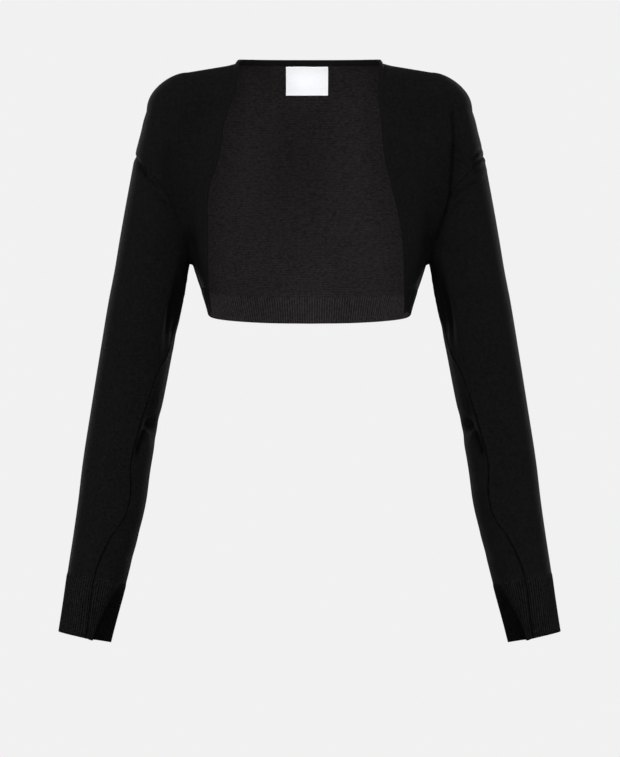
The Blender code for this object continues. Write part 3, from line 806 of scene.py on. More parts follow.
def with_loops(net):
    """A net with two more rows or columns of points close beside each edge."""
    for edge in ("bottom", "top", "start", "end"):
        rows = from_edge(net, edge)
        added = [rows[0] + share * (rows[1] - rows[0]) for share in LOOP_SHARES]
        rows = np.concatenate((rows[:1], added, rows[1:]))
        rows = rows[::-1] if edge in ("top", "end") else rows
        net = np.moveaxis(rows, 1, 0) if edge in ("start", "end") else rows
    return net


def rounded_end(nets, row):
    """Two nets, their map and their painted shade, with a narrower row that rounds a free edge."""
    outer, inner, knit, painted_shades = nets
    step = unit(outer[row] - outer[1 if row == 0 else -2])
    middle = (outer[row] + inner[row]) / 2
    half = (outer[row] - inner[row]) / 2
    reach = END_REACH * np.linalg.norm(half, axis=-1, keepdims=True) * step
    narrow = END_HALF * half
    ends = (middle + narrow + reach, middle - narrow + reach, knit[row], painted_shades[row])
    place = 0 if row == 0 else len(outer)
    return [np.insert(net, place, end, axis=0) for net, end in zip(nets, ends)]


def shell(name, outer, inner, knit, painted_shades, materials, wraps=False, jump=None):
    """A closed shell of cloth between two nets of points.

    knit is the map of every point, with one column more than the nets where they wrap round,
    and the net after it gives the painted shade of the outer net at each point.
    From the column named by jump on, the map starts again on the seam's other side.
    """
    rows, columns = outer.shape[:2]
    number = np.arange(rows * columns).reshape(rows, columns)
    if wraps:
        number = closed_up(number)
    left, right = knit[:, :-1].copy(), knit[:, 1:].copy()
    if jump is not None:
        whole = knit[:, -1:, 0] - knit[:, :1, 0]
        left[:, jump:, 0] -= whole
        right[:, jump:, 0] -= whole
    a, b, c, d = number[:-1, :-1], number[:-1, 1:], number[1:, 1:], number[1:, :-1]
    below = rows * columns
    quads = [np.stack((a, b, c, d), -1), np.stack((a, d, c, b), -1) + below]
    maps = [
        np.stack((left[:-1], right[:-1], right[1:], left[1:]), -2),
        np.stack((left[:-1], left[1:], right[1:], right[:-1]), -2),
    ]
    rims = [(b[0], a[0], right[0], left[0]), (d[-1], c[-1], left[-1], right[-1])]
    if not wraps:
        rims.append((a[:, 0], d[:, 0], left[:-1, 0], left[1:, 0]))
        rims.append((c[:, -1], b[:, -1], right[1:, -1], right[:-1, -1]))
    for first, second, map_first, map_second in rims:
        quads.append(np.stack((first, second, second + below, first + below), -1))
        maps.append(np.stack((map_first, map_second, map_second, map_first), -2))
    quads = [q.reshape(-1, 4) for q in quads]
    outside, inside = len(quads[0]), len(quads[1])
    faces = np.concatenate(quads)
    places = np.concatenate([m.reshape(-1, 4, 2) for m in maps])
    points = np.concatenate((outer.reshape(-1, 3), inner.reshape(-1, 3)))
    corner = points[faces[:outside]]
    facing = np.cross(corner[:, 1] - corner[:, 0], corner[:, 3] - corner[:, 0])
    out = (corner - points[faces[:outside] + below]).mean(axis=1)
    if (facing * out).sum() < 0:
        faces, places = faces[:, ::-1], places[:, ::-1]
    mesh = bpy.data.meshes.new(name)
    mesh.from_pydata(points.tolist(), [], faces.tolist())
    # painted shade, on the outer face only
    painted_shades = np.concatenate((painted_shades.reshape(-1), np.zeros(below))).astype(np.float32)
    mesh.attributes.new(SHADE_ATTRIBUTE, "FLOAT", "POINT").data.foreach_set("value", painted_shades)
    mesh.uv_layers.new(name=MAP).data.foreach_set("uv", places.reshape(-1).astype(np.float32))
    for material in materials:
        mesh.materials.append(material)
    slots = np.zeros(len(faces), dtype=np.int32)
    slots[outside : outside + inside] = len(materials) - 1
    mesh.polygons.foreach_set("material_index", slots)
    mesh.shade_smooth()
    mesh.set_sharp_from_angle(angle=SHARP_ABOVE)
    piece = bpy.data.objects.new(name, mesh)
    bpy.context.scene.collection.objects.link(piece)
    return piece


def worn(piece, net, node, layers=1):
    """Puts a finished piece of cloth on the frame, and works out the flat size of the cut that it
    was made from.
    """
    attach(piece, ROOT)
    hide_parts(node)
    flat = (float(layers * lengths(net, 1)[:, -1].max()), float(lengths(net, 0)[-1].max()))


def two_faces(net, pressed, thickness, seam, sizes):
    """The outer and inner nets of knitted cloth, with its seams sunk outside and raised inside."""
    normals = outward(net)
    outer = net - (pressed + sizes.seam_groove * seam)[..., None] * normals
    inner = net - (pressed + thickness + sizes.seam_ridge * seam)[..., None] * normals
    return outer, inner


def ribbed(outer, inner, painted_shades, sizes, wraps, join):
    """Both nets of a one-by-one rib, its map and its painted shade, with ribs that follow its
    columns.

    join is the row that meets the plain knit, from which the ribs rise.
    """
    parts = [outer, inner, painted_shades[..., None]]
    if wraps:
        parts = [closed_up(part) for part in parts]
    along = lengths(parts[0], 1)
    count = RIB_POINTS * round(along[:, -1].mean() / sizes.rib_pitch)
    along = (along / along[:, -1:]).mean(axis=0)
    at = np.interp(np.linspace(0, 1, count + 1), along, np.arange(len(along)))
    low = np.minimum(at.astype(int), len(along) - 2)
    share = (at - low)[:, None]
    fine, backed, painted_shades = (
        (1 - share) * part[:, low] + share * part[:, low + 1] for part in parts
    )
    phase = np.arange(count + 1) / RIB_POINTS
    crest = (0.5 + 0.5 * np.cos(2 * np.pi * phase))[None, :, None]
    up = lengths(fine[:, ::RIB_POINTS], 0).mean(axis=1)
    ease = np.clip(np.abs(up - up[join]) / RIB_EASE, 0, 1)[:, None, None]
    normals = unit(fine - backed)
    fine = fine + sizes.rib_rise * ease * (crest - RIB_SINKS) * normals
    backed = backed - sizes.rib_rise * ease * (RIB_SINKS_INSIDE - crest) * normals
    knit = np.stack(np.broadcast_arrays(phase[None, :] * sizes.rib_pitch, up[:, None]), axis=-1)
    if wraps:
        fine, backed, painted_shades = fine[:, :-1], backed[:, :-1], painted_shades[:, :-1]
    return fine, backed, knit, painted_shades[..., 0]


# Pieces.


@cache
def seam_lines():
    return Lines()


def beside_band(net, edges):
    """Nought beside the edge band, whose own shape has no folds, and one away from it."""
    ease = np.ones(net.shape[:2])
    for edge in edges:
        ease = ease * np.clip(near_edge(net, edge) / BAND_EASE, 0, 1) ** 2
    return ease


def body_piece(name, net, middle, sides, sizes, materials):
    """A front or the back: knit between its seams, which sink in all round but at the rib.

    sides gives the share of their full depth that the seams at both its sides sink in.
    """
    net = with_loops(net)
    from_neck = np.abs(net[-1, :, 0]) - seam_lines().neck_point[0]
    top = np.clip(BAND_SEAM_SHARE + from_neck / SEAM_DEEPENS, BAND_SEAM_SHARE, 1)
    seam = seam_dip(net, {"top": top, **sides})
    pressed, painted_shades = folds(net)
    pressed *= beside_band(net, [side for side in sides if sides[side] == BAND_SEAM_SHARE])
    outer, inner = two_faces(net, pressed, sizes.wall, seam, sizes)
    outer, inner = (lapped(face, ("bottom", "top", "start", "end")) for face in (outer, inner))
    # painted shade along the sunk seams
    painted_shades = painted_shades + SEAM_SHADE * seam
    piece = shell(f"{name}_knit", outer, inner, knit_map(net, middle), painted_shades, materials)
    worn(piece, net, name)


def sleeve_net(first, last, cuts):
    """Rings of points round the arm from one share of its length to another, and their angles."""
    lines = seam_lines()
    at = ARMHOLE_CUTS
    columns = np.concatenate((np.arange(at - 1), at + SEAM_LOOPS, np.arange(at + 2, 2 * at)))
    whole = np.arange(2 * at)
    top, end = np.array((ARMHOLE_TOP, ARMPIT)), np.array((CUFF_END_OUTER, CUFF_END_INNER))
    regular = np.linspace(0, 2 * np.pi, 2 * at, endpoint=False)
    nets, turns = [], []
    for share in np.linspace(first, last, cuts + 1):
        tilted = max(1 - share / SLEEVE_STRAIGHTENS, 0) ** 2
        middle = top.mean() + share * (end.mean() - top.mean())
        tilt = (end[0] - end[1]) + tilted * ((top[0] - top[1]) - (end[0] - end[1]))
        even = min(share / SLEEVE_EVENS, 1)
        twist = np.radians(SLEEVE_SEAM.at("degrees", middle) - 180)
        angles = (1 - even) * lines.armhole_angles + even * (regular + twist)
        angles = np.interp(columns, whole, angles)
        bow = ARMHOLE_BOW * tilted
        nets.append(armhole_ring(middle + tilt / 2, middle - tilt / 2, bow, angles))
        turns.append(angles)
    net = settled(np.stack(nets))
    if first == 0:
        net[0] = read_off(lines.armhole, whole, columns)
    return net, np.stack(turns)


def seam_welt(net):
    """How far the sleeve's lengthwise seam rises beside its line, and how much shade is painted on
    the line.
    """
    seam = slice(SEAM_COLUMN, SEAM_COLUMN + 1)
    away = lengths(net, 1)
    away = away - away[:, seam]
    along = lengths(net, 0)[:, seam]
    uneven = 1 + sum(share * np.sin(along / wave + start) for share, wave, start in WELT_WAVES)
    welt = WELT_RISE * np.exp(-((away / WELT_HALF_WIDTH) ** 2))
    groove = np.exp(-((away / GROOVE_HALF_WIDTH) ** 2))
    starts = np.clip(along / WELT_STARTS, 0, 1)
    fading = 1 - LINE_FADES + LINE_FADES * np.sin(along / LINE_WAVE)
    # the painted shade on the seam's line
    line = GROOVE_SHADE * groove * fading * starts
    return (welt - GROOVE_DEPTH * groove) * uneven * starts, line


def sleeve(side, sizes, colours):
    """One sleeve, a tube from the armhole to the cuff, and its ribbed cuff."""
    word = "left" if side > 0 else "right"
    length = np.linalg.norm(
        armhole_ring(CUFF_END_OUTER, CUFF_END_INNER, 0, np.zeros(1))
        - armhole_ring(ARMHOLE_TOP, ARMPIT, 0, np.zeros(1))
    )
    cuff_start = 1 - CUFF_RIB_LENGTH / length
    arm, angles = sleeve_net(0, cuff_start, SLEEVE_CUTS)
    wrist, wrist_angles = sleeve_net(cuff_start, 1, CUFF_CUTS)
    net, angles = np.concatenate((arm, wrist[1:])), np.concatenate((angles, wrist_angles[1:]))
    from_armhole = lengths(net, 0)
    ease = np.clip(from_armhole / SLEEVE_EASE, 0, 1) ** 2
    body, body_shades = folds(mirrored(net, side))
    own, own_shades = dents(net, angles, side)
    welt, line = seam_welt(net)
    seam = seam_dip(net, {"bottom": 1})
    outer, inner = two_faces(net, body + ease * own - welt, sizes.wall, seam, sizes)
    # painted shade: in folds and troughs, in the painted shadows, and along the seams
    painted_shades = body_shades + ease * own_shades + line + SEAM_SHADE * seam

    rows = slice(0, len(arm))
    faces = [mirrored(lapped(face[rows], ("bottom", "top")), side) for face in (outer, inner)]
    closed = closed_up(arm)
    knit = knit_map(closed[::-1], 0)[::-1]
    materials = knit_sides(sizes, colours)
    name = f"sleeve_{word}_knit"
    piece = shell(name, *faces, knit, painted_shades[rows], materials, wraps=True, jump=SEAM_COLUMN)
    worn(piece, closed, f"sleeve_{word}")

    rows = slice(len(arm) - 1, None)
    faces = [lapped(face[rows], ("bottom",)) for face in (outer, inner)]
    faces = [mirrored(face, side) for face in faces]
    nets = rounded_end(ribbed(*faces, painted_shades[rows], sizes, wraps=True, join=0), -1)
    piece = shell(f"cuff_{word}_rib", *nets, (rib_knit(sizes, colours),), wraps=True)
    worn(piece, closed_up(wrist), f"cuff_{word}")


def hem_strip():
    """The hem rib's net, from the left band seam round the back to the right one."""
    rows = []
    for parts in seam_lines().rings:
        rows.append(np.concatenate((parts[0][:-1], parts[1][:-1], parts[2])))
    return np.stack(rows)


def edge_strip(sizes):
    """The narrow band's two faces, up the left front, round the neck and down the right."""
    lines = seam_lines()
    seam = np.concatenate(
        (lines.band_seam[1][:-1], lines.neck[:-1], lines.band_seam[-1][::-1])
    )
    normals = outward(seam)
    tangents = along_curve(seam)
    aside = unit(np.cross(normals, tangents))
    count = len(lines.band_seam[1]) - 1
    station = np.arange(len(seam))
    from_front = np.minimum(station - count, count + NECK_CUTS - station)
    upright = np.clip(0.5 + from_front / BAND_TURN_CUTS, 0, 1)[:, None]
    towards = unit((1 - upright) * aside + upright * np.array((0, 0, 1)))
    proud = unit(np.cross(tangents, towards))
    middle = seam - sizes.wall / 2 * normals
    outer, inner = [], []
    for share, swell in BAND_SECTION:
        line = middle + share * BAND_WIDTH * towards
        turned = min(BAND_TURNS * share, 1)
        thick = unit((1 - turned) * normals + turned * proud)
        outer.append(line + swell * sizes.band / 2 * thick)
        inner.append(line - swell * sizes.band / 2 * thick)
    return np.stack(outer, axis=1), np.stack(inner, axis=1)


# Materials.


def linear(code):
    """An sRGB hex colour as the linear light that a shader takes."""
    parts = [int(code[at : at + 2], 16) / 255 for at in (1, 3, 5)]
    return [p / 12.92 if p <= 0.04045 else ((p + 0.055) / 1.055) ** 2.4 for p in parts]


def add(material, kind, inputs, **settings):
    """A node with its settings; its inputs are given sockets to link, or values."""
    tree = material.node_tree
    made = tree.nodes.new(kind)
    for name, value in settings.items():
        setattr(made, name, value)
    for place, value in inputs.items():
        if isinstance(value, bpy.types.NodeSocket):
            tree.links.new(value, made.inputs[place])
        else:
            made.inputs[place].default_value = value
    return made.outputs


# What a knit's relief is worked out from: a named value, its operation and what goes in. The
# values u and v are the cloth's own map in metres, wale and course the size of one stitch.
ACROSS, UP = ("across", "DIVIDE", "u", "wale"), ("up", "DIVIDE", "v", "course")
PLAIN_KNIT = (
    ACROSS,
    ("beside", "FRACT", "across"),
    ("beside", "MULTIPLY_ADD", "beside", 2, -1),
    ("beside", "ABSOLUTE", "beside"),
    UP,
    ("leg", "MULTIPLY_ADD", "beside", -0.75, "up"),
    ("leg", "FRACT", "leg"),
    ("leg", "MULTIPLY", "leg", np.pi),
    ("yarn", "SINE", "leg"),
    ("gap", "POWER", "beside", 4),
    ("gap", "SUBTRACT", 1, "gap"),
    ("heart", "MULTIPLY", "beside", 4),
    ("heart", "MINIMUM", "heart", 1),
    ("heart", "MULTIPLY_ADD", "heart", 0.4, 0.6),
    ("relief", "MULTIPLY", "yarn", "gap"),
    ("relief", "MULTIPLY", "relief", "heart"),
)
PURL_KNIT = (
    ACROSS,
    ("across", "MULTIPLY", "across", 2 * np.pi),
    ("wave", "COSINE", "across"),
    UP,
    ("loop", "MULTIPLY_ADD", "wave", 0.22, "up"),
    ("loop", "FRACT", "loop"),
    ("loop", "MULTIPLY", "loop", np.pi),
    ("relief", "SINE", "loop"),
)
RIB_KNIT = (
    ACROSS,
    ("across", "MULTIPLY", "across", 2 * np.pi),
    ("rib", "COSINE", "across"),
    ("rib", "MULTIPLY_ADD", "rib", 0.5, 0.5),
    UP,
    ("up", "FRACT", "up"),
    ("up", "MULTIPLY", "up", np.pi),
    ("yarn", "SINE", "up"),
    ("yarn", "MULTIPLY_ADD", "yarn", 0.3, 0.7),
    ("relief", "MULTIPLY", "rib", "yarn"),
)
RIB_KNIT_INSIDE = (*RIB_KNIT[:2], ("across", "ADD", "across", np.pi), *RIB_KNIT[2:])
SATIN_WEAVE = (
    ACROSS,
    ("across", "MULTIPLY", "across", np.pi),
    ("warp", "SINE", "across"),
    ("warp", "ABSOLUTE", "warp"),
    UP,
    ("up", "MULTIPLY", "up", np.pi),
    ("weft", "SINE", "up"),
    ("weft", "ABSOLUTE", "weft"),
    ("relief", "MULTIPLY_ADD", "weft", 0.5, "warp"),
)


def cloth(
    name, colour, pattern, stitch, *, relief, contrast, sheen, specular=0.02, roughness=0.9
):
    """A cloth's material: a stitch pattern in relief, with painted shade between its yarns, and
    mottled.

    It has painted shade too in sharp folds, along seams and in shadowed hollows, by the mesh's
    shade attribute.
    stitch is the width and height of one stitch and relief the height of its yarn, in metres.
    """
    if name in bpy.data.materials:
        return bpy.data.materials[name]
    material = bpy.data.materials.new(name)
    material.use_nodes = True
    material.node_tree.nodes.clear()
    place = add(material, "ShaderNodeUVMap", {}, uv_map=MAP)["UV"]
    place = add(material, "ShaderNodeSeparateXYZ", {"Vector": place})
    values = {"u": place["X"], "v": place["Y"], "wale": stitch[0], "course": stitch[1]}
    for result, operation, *parts in pattern:
        inputs = {at: values.get(part, part) for at, part in enumerate(parts)}
        values[result] = add(material, "ShaderNodeMath", inputs, operation=operation)["Value"]
    where = add(material, "ShaderNodeTexCoord", {})["Object"]
    inputs = {0: where, 1: FIBRE_STRETCH}
    where = add(material, "ShaderNodeVectorMath", inputs, operation="MULTIPLY")["Vector"]
    fibres = {"Vector": where, "Scale": 1 / FIBRE_CLUMP, "Detail": 3.0, "Roughness": 0.6}
    fibres = add(material, "ShaderNodeTexNoise", fibres)["Fac"]
    inputs = {0: fibres, 1: FIBRE_STRENGTH, 2: FIBRE_SHIFT}
    fibres = add(material, "ShaderNodeMath", inputs, operation="MULTIPLY_ADD")["Value"]
    # the tone follows the relief: painted shade between the yarns, and between the ribs of a rib
    inputs = {0: values["relief"], 1: YARN_STRENGTH, 2: fibres}
    tone = add(material, "ShaderNodeMath", inputs, operation="MULTIPLY_ADD", use_clamp=True)
    dark = [part * (1 - contrast) for part in colour] + [1]
    light = [min(part * (1 + contrast), 1) for part in colour] + [1]
    inputs = {"Factor": tone["Value"], "A": dark, "B": light}
    tint = add(material, "ShaderNodeMix", inputs, data_type="RGBA")
    # painted shade: the colour is made darker where the mesh's attribute says so
    painted_shade = add(material, "ShaderNodeAttribute", {}, attribute_name=SHADE_ATTRIBUTE)["Fac"]
    inputs = {0: painted_shade, 1: -CREASE_SHADE, 2: 1.0}
    shade = add(material, "ShaderNodeMath", inputs, operation="MULTIPLY_ADD", use_clamp=True)
    inputs = {"Vector": tint["Result"], "Scale": shade["Value"]}
    tint = add(material, "ShaderNodeVectorMath", inputs, operation="SCALE")["Vector"]
    bump = {"Height": values["relief"], "Distance": relief, "Strength": 1.0}
    bump = add(material, "ShaderNodeBump", bump)["Normal"]
    finish = {
        "Base Color": tint,
        "Roughness": roughness,
        "Specular IOR Level": specular,
        "Sheen Weight": sheen,
        "Sheen Roughness": 0.5,
        "Normal": bump,
    }
    shader = add(material, "ShaderNodeBsdfPrincipled", finish)["BSDF"]
    add(material, "ShaderNodeOutputMaterial", {"Surface": shader})
    return material


def fine_knit(sizes, colours):
    """Fine-gauge plain knit in dull black yarn: soft, with a faint greyish bloom of fibres."""
    stitch = (sizes.wale, sizes.course)
    looks = {"relief": 0.25 * MM, "contrast": 0.55, "sheen": 0.005}
    return cloth("fine_plain_knit", colours.outside, PLAIN_KNIT, stitch, **looks)


def purl_inside(sizes, colours):
    """The same cloth's purl side: close wavy rows, and a slightly warmer and lighter black."""
    stitch = (1.3 * sizes.wale, 1.5 * sizes.course)  # the face's size is too fine to show here
    looks = {"relief": 0.25 * MM, "contrast": 0.7, "sheen": 0.01}
    return cloth("fine_purl_inside", colours.inside, PURL_KNIT, stitch, **looks)


def knit_sides(sizes, colours):
    return fine_knit(sizes, colours), purl_inside(sizes, colours)


def rib_knit(sizes, colours):
    """One-by-one rib: its ribs are in the mesh, and each has one wale of stitches."""
    stitch = (sizes.rib_pitch, sizes.course)
    # its strong contrast paints shade in the valleys between the ribs
    looks = {"relief": 0.3 * MM, "contrast": 0.85, "sheen": 0.005}
    return cloth("one_by_one_rib", colours.rib, RIB_KNIT, stitch, **looks)


def rib_inside_painted_light(sizes, colours):
    """The rib's inner face, in the warmer black of the inside, painted lighter still for the light
    from below the hem.
    """
    stitch = (sizes.rib_pitch, sizes.course)
    looks = {"relief": 0.3 * MM, "contrast": 0.6, "sheen": 0.01}
    return cloth("rib_inside_painted_light", colours.rib_inside_painted_light, RIB_KNIT_INSIDE, stitch, **looks)


def band_knit(sizes, colours):
    """The edge band's close knit, whose wales run along it; it looks smooth and a bit denser."""
    stitch = (0.65 * sizes.wale, 0.8 * sizes.course)
    looks = {"relief": 0.15 * MM, "contrast": 0.35, "sheen": 0.005}
    return cloth("close_band_knit", colours.band, PLAIN_KNIT, stitch, **looks)


def label_satin(colours):
    """Woven label satin: white, a bit glossier than the knit, with a fine even grain."""
    stitch = (0.7 * MM, 0.7 * MM)  # real threads lie 0.2 mm apart, too fine to show
    looks = {"relief": 0.03 * MM, "contrast": 0.04, "sheen": 0.1, "specular": 0.4}
    return cloth("woven_label", colours.label, SATIN_WEAVE, stitch, roughness=0.6, **looks)


def studio_paper(colours):
    """Seamless studio paper: matt, pale, and lit through from behind, which keeps it even."""
    material = bpy.data.materials.new("studio_paper")
    material.use_nodes = True
    shader = material.node_tree.nodes["Principled BSDF"]
    shader.inputs["Base Color"].default_value = (0, 0, 0, 1)  # its light comes through it
    shader.inputs["Roughness"].default_value = 1
    shader.inputs["Specular IOR Level"].default_value = 0
    shader.inputs["Emission Color"].default_value = (*colours.backdrop, 1)
    shader.inputs["Emission Strength"].default_value = PAPER_GLOW
    return material


# What a user can change.


class CARDIGAN_sizes(PropertyGroup):
    """Sizes of the cloth, its ribs and its seams."""

    wall: FloatProperty(
        name="Wall", description="Thickness of the knit", default=1.6 * MM, unit="LENGTH"
    )
    band: FloatProperty(
        name="Band", description="Thickness of the edge band", default=2.4 * MM, unit="LENGTH"
    )
    wale: FloatProperty(
        name="Wale",
        description="Width of a stitch; the real one is about 1.3 mm, too fine to show",
        default=1.8 * MM,
        unit="LENGTH",
    )
    course: FloatProperty(
        name="Course",
        description="Height of a stitch; the real one is about 1 mm, too fine to show",
        default=1.4 * MM,
        unit="LENGTH",
    )
    rib_pitch: FloatProperty(
        name="Rib pitch",
        description="From rib to rib; the real one is about 2.4 mm, too fine to show",
        default=3.0 * MM,
        unit="LENGTH",
    )
    rib_rise: FloatProperty(
        name="Rib rise", description="How far a rib stands out", default=1.0 * MM, unit="LENGTH"
    )
    seam_groove: FloatProperty(
        name="Seam groove",
        description="How far a seam sinks in outside",
        default=0.6 * MM,
        unit="LENGTH",
    )
    seam_ridge: FloatProperty(
        name="Seam ridge",
        description="How far a seam stands out inside",
        default=0.5 * MM,
        unit="LENGTH",
    )


class CARDIGAN_colours(PropertyGroup):
    """Colours of the yarns, the label and the backdrop."""

    outside: FloatVectorProperty(
        name="Outside", description="Face of the knit", subtype="COLOR", default=linear("#0c0c0c")
    )
    inside: FloatVectorProperty(
        name="Inside", description="Back of the knit", subtype="COLOR", default=linear("#1c1a1b")
    )
    # a little lighter than the face: painted light that makes up for the shade between the ribs
    rib: FloatVectorProperty(
        name="Rib", description="Cuffs and hem", subtype="COLOR", default=linear("#0e0e0e")
    )
    # painted lighter than the inside, for the light that reaches the inside of the hem from below
    rib_inside_painted_light: FloatVectorProperty(
        name="Rib inside",
        description="Back of the rib",
        subtype="COLOR",
        default=linear("#242123"),
    )
    band: FloatVectorProperty(
        name="Band", description="The edge band", subtype="COLOR", default=linear("#0c0c0c")
    )
    label: FloatVectorProperty(
        name="Label", description="The woven label", subtype="COLOR", default=linear("#f6f7fa")
    )
    backdrop: FloatVectorProperty(
        name="Backdrop", description="Studio paper", subtype="COLOR", default=linear("#ffffff")
    )


def wishes():
    scene = bpy.context.scene
    return scene.cardigan_sizes, scene.cardigan_colours


# One operator for each piece, or for a pair of them.


class CARDIGAN_OT_knit_back(Operator):
    """Knits the back, from side seam to side seam and over both shoulders"""

    bl_idname = "cardigan.knit_back"
    bl_label = "Knit the back"

    def execute(self, context):
        sizes, colours = wishes()
        lines = seam_lines()
        top = (lines.shoulder[::-1], lines.neck[1:-1], mirrored(lines.shoulder, -1))
        net = net_between(
            lines.rings[-1][1],
            np.concatenate(top),
            lines.back_side,
            mirrored(lines.back_side, -1),
        )
        materials = knit_sides(sizes, colours)
        body_piece("back", net, net.shape[1] // 2, {"start": 1, "end": 1}, sizes, materials)
        return {"FINISHED"}


class CARDIGAN_OT_knit_fronts(Operator):
    """Knits both fronts, from the edge band to the side seam and armhole"""

    bl_idname = "cardigan.knit_fronts"
    bl_label = "Knit the fronts"

    def execute(self, context):
        sizes, colours = wishes()
        lines = seam_lines()
        materials = knit_sides(sizes, colours)
        for word, side, at in (("left", 1, 0), ("right", -1, 2)):
            net = net_between(
                lines.rings[-1][at][::side],
                mirrored(lines.shoulder, side),
                lines.band_seam[side][HEM_CUTS:],
                mirrored(lines.front_side, side),
            )
            sides = {"start": BAND_SEAM_SHARE, "end": 1}
            body_piece(f"front_{word}", net, 0, sides, sizes, materials)
        return {"FINISHED"}


class CARDIGAN_OT_knit_sleeves(Operator):
    """Knits both sleeves, each with its lengthwise seam and its ribbed cuff"""

    bl_idname = "cardigan.knit_sleeves"
    bl_label = "Knit the sleeves"

    def execute(self, context):
        sizes, colours = wishes()
        for side in (1, -1):
            sleeve(side, sizes, colours)
        return {"FINISHED"}


class CARDIGAN_OT_knit_hem_rib(Operator):
    """Knits the ribbed hem, in one strip from front band to front band"""

    bl_idname = "cardigan.knit_hem_rib"
    bl_label = "Knit the hem rib"

    def execute(self, context):
        sizes, colours = wishes()
        net = hem_strip()
        pressed, painted_shades = folds(net)
        pressed *= beside_band(net, ("start", "end"))
        faces = two_faces(net, pressed, sizes.wall, np.zeros_like(pressed), sizes)
        faces = [lapped(face, ("top", "start", "end")) for face in faces]
        nets = rounded_end(ribbed(*faces, painted_shades, sizes, wraps=False, join=-1), 0)
        materials = (rib_knit(sizes, colours), rib_inside_painted_light(sizes, colours))
        piece = shell("hem_rib_knit", *nets, materials)
        worn(piece, net, "hem_rib")
        return {"FINISHED"}


class CARDIGAN_OT_knit_edge_band(Operator):
    """Knits the narrow band that finishes both front edges and the neck"""

    bl_idname = "cardigan.knit_edge_band"
    bl_label = "Knit the edge band"

    def execute(self, context):
        sizes, colours = wishes()
        outer, inner = edge_strip(sizes)
        knit, painted_shades = knit_map(outer, 0), np.zeros(outer.shape[:2])
        piece = shell("edge_band_knit", outer, inner, knit, painted_shades, (band_knit(sizes, colours),))
        worn(piece, outer, "edge_band", layers=2)
        return {"FINISHED"}


class CARDIGAN_OT_sew_label(Operator):
    """Sews the blank label inside the back, under the neck band"""

    bl_idname = "cardigan.sew_label"
    bl_label = "Sew on the label"

    def execute(self, context):
        sizes, colours = wishes()
        across = np.linspace(*LABEL_ACROSS, LABEL_CUTS[0] + 1) * MM
        heights = np.linspace(*LABEL_HEIGHTS, LABEL_CUTS[1] + 1) * MM
        x, z = np.meshgrid(across, heights)
        starts = np.stack((x, np.zeros_like(x), z), axis=-1)
        net = cast(starts, np.array((0, 1, 0)))
        normals = outward(net)
        pressed, painted_shades = folds(net)
        deep = pressed + sizes.wall + LABEL_CLEAR
        waves = np.sin(x / LABEL_WAVE_ACROSS) * np.cos(z / LABEL_WAVE_UP + 1)
        outer = net - (deep + LABEL_RIPPLE * waves)[..., None] * normals
        inner = outer - LABEL_CLOTH * normals
        satin = (label_satin(colours),)
        piece = shell("label_woven", outer, inner, knit_map(net, 0), 0 * painted_shades, satin)
        worn(piece, net, "label")
        return {"FINISHED"}


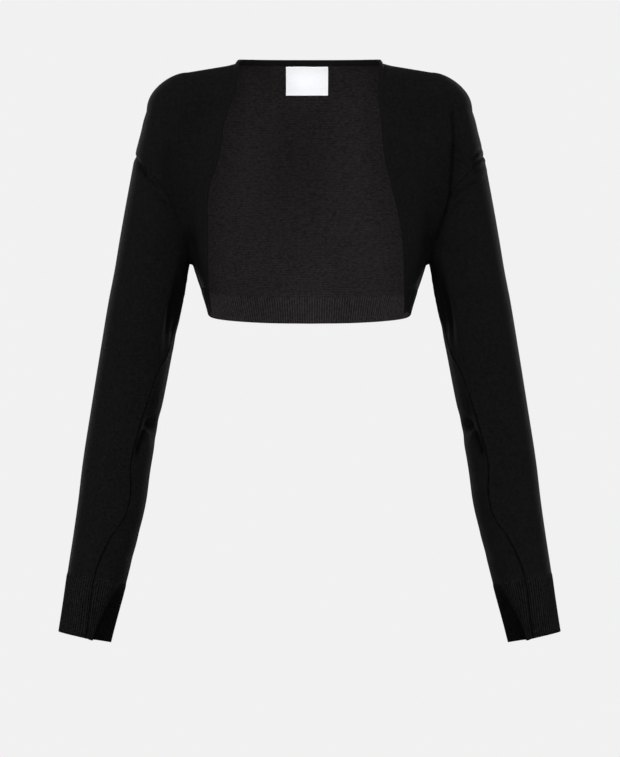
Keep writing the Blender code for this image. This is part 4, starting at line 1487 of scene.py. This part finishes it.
class CARDIGAN_OT_set_stage(Operator):
    """Sets the pale floor and backdrop, the soft lights and the camera"""

    bl_idname = "cardigan.set_stage"
    bl_label = "Set the stage"

    def execute(self, context):
        _, colours = wishes()
        paper = studio_paper(colours)
        bpy.ops.object.select_all(action="DESELECT")
        bpy.ops.mesh.primitive_circle_add(
            vertices=96, radius=FLOOR_RADIUS, fill_type="NGON", location=(0, 0, FLOOR_HEIGHT)
        )
        floor = context.active_object
        floor.name = "paper_floor"
        floor.data.materials.append(paper)
        bpy.ops.object.select_all(action="DESELECT")
        bpy.ops.mesh.primitive_uv_sphere_add(segments=64, ring_count=32, radius=DOME_RADIUS)
        bpy.ops.object.mode_set(mode="EDIT")
        bpy.ops.mesh.flip_normals()
        bpy.ops.object.mode_set(mode="OBJECT")
        dome = context.active_object
        dome.name = "paper_dome"
        dome.data.materials.append(paper)
        for sheet in (floor, dome):  # it is seen, and leaves the light on the knit to the lamps
            sheet.visible_diffuse = sheet.visible_glossy = sheet.visible_shadow = False
            sheet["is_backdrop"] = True

        for name, place, size, power in LIGHTS:
            aim = (Vector(LIGHT_AIM) - Vector(place)).to_track_quat("-Z", "Y")
            bpy.ops.object.light_add(type="AREA", location=place, rotation=aim.to_euler())
            lamp = context.active_object
            lamp.name = name
            lamp.data.shape = "RECTANGLE"
            lamp.data.size, lamp.data.size_y = size
            lamp.data.energy = power
            lamp.visible_camera = False
        world = bpy.data.worlds.new("soft_room")
        world.use_nodes = True
        room = world.node_tree.nodes["Background"]
        room.inputs["Color"].default_value = (1, 1, 1, 1)
        room.inputs["Strength"].default_value = ROOM_LIGHT
        context.scene.world = world
        context.scene.view_settings.view_transform = "Standard"  # colours as the photo has them

        bpy.ops.object.camera_add(location=CAMERA_PLACE, rotation=(np.pi / 2, 0, 0))
        camera = context.active_object
        camera.name = "photo_camera"
        camera.data.lens = CAMERA_LENS
        camera.data.clip_end = CAMERA_REACH
        context.scene.camera = camera
        return {"FINISHED"}


class CARDIGAN_PT_panel(Panel):
    """Lists the pieces, and the sizes and colours that they are made with"""

    bl_idname = "CARDIGAN_PT_panel"
    bl_label = "Cardigan"
    bl_space_type = "VIEW_3D"
    bl_region_type = "UI"
    bl_category = "Cardigan"

    def draw(self, context):
        for group in wishes():
            column = self.layout.column(align=True)
            for name in group.__annotations__:
                column.prop(group, name)
        for operator in OPERATORS:
            self.layout.operator(operator.bl_idname)


OPERATORS = (
    CARDIGAN_OT_knit_back,
    CARDIGAN_OT_knit_fronts,
    CARDIGAN_OT_knit_sleeves,
    CARDIGAN_OT_knit_hem_rib,
    CARDIGAN_OT_knit_edge_band,
    CARDIGAN_OT_sew_label,
    CARDIGAN_OT_set_stage,
)
CLASSES = (CARDIGAN_sizes, CARDIGAN_colours, *OPERATORS, CARDIGAN_PT_panel)


def register():
    for each in CLASSES:
        bpy.utils.register_class(each)
    bpy.types.Scene.cardigan_sizes = PointerProperty(type=CARDIGAN_sizes)
    bpy.types.Scene.cardigan_colours = PointerProperty(type=CARDIGAN_colours)


def unregister():
    del bpy.types.Scene.cardigan_sizes
    del bpy.types.Scene.cardigan_colours
    for each in reversed(CLASSES):
        bpy.utils.unregister_class(each)


def main():
    register()
    bpy.ops.cardigan.set_stage()
    bpy.ops.cardigan.knit_back()
    bpy.ops.cardigan.knit_fronts()
    bpy.ops.cardigan.knit_sleeves()
    bpy.ops.cardigan.knit_hem_rib()
    bpy.ops.cardigan.knit_edge_band()
    bpy.ops.cardigan.sew_label()
    boxes = {"frame": CAD_BOX, "scene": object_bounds()}
    boxes = {name: [list(corner) for corner in box] for name, box in boxes.items()}


if __name__ == "__main__":
    main()
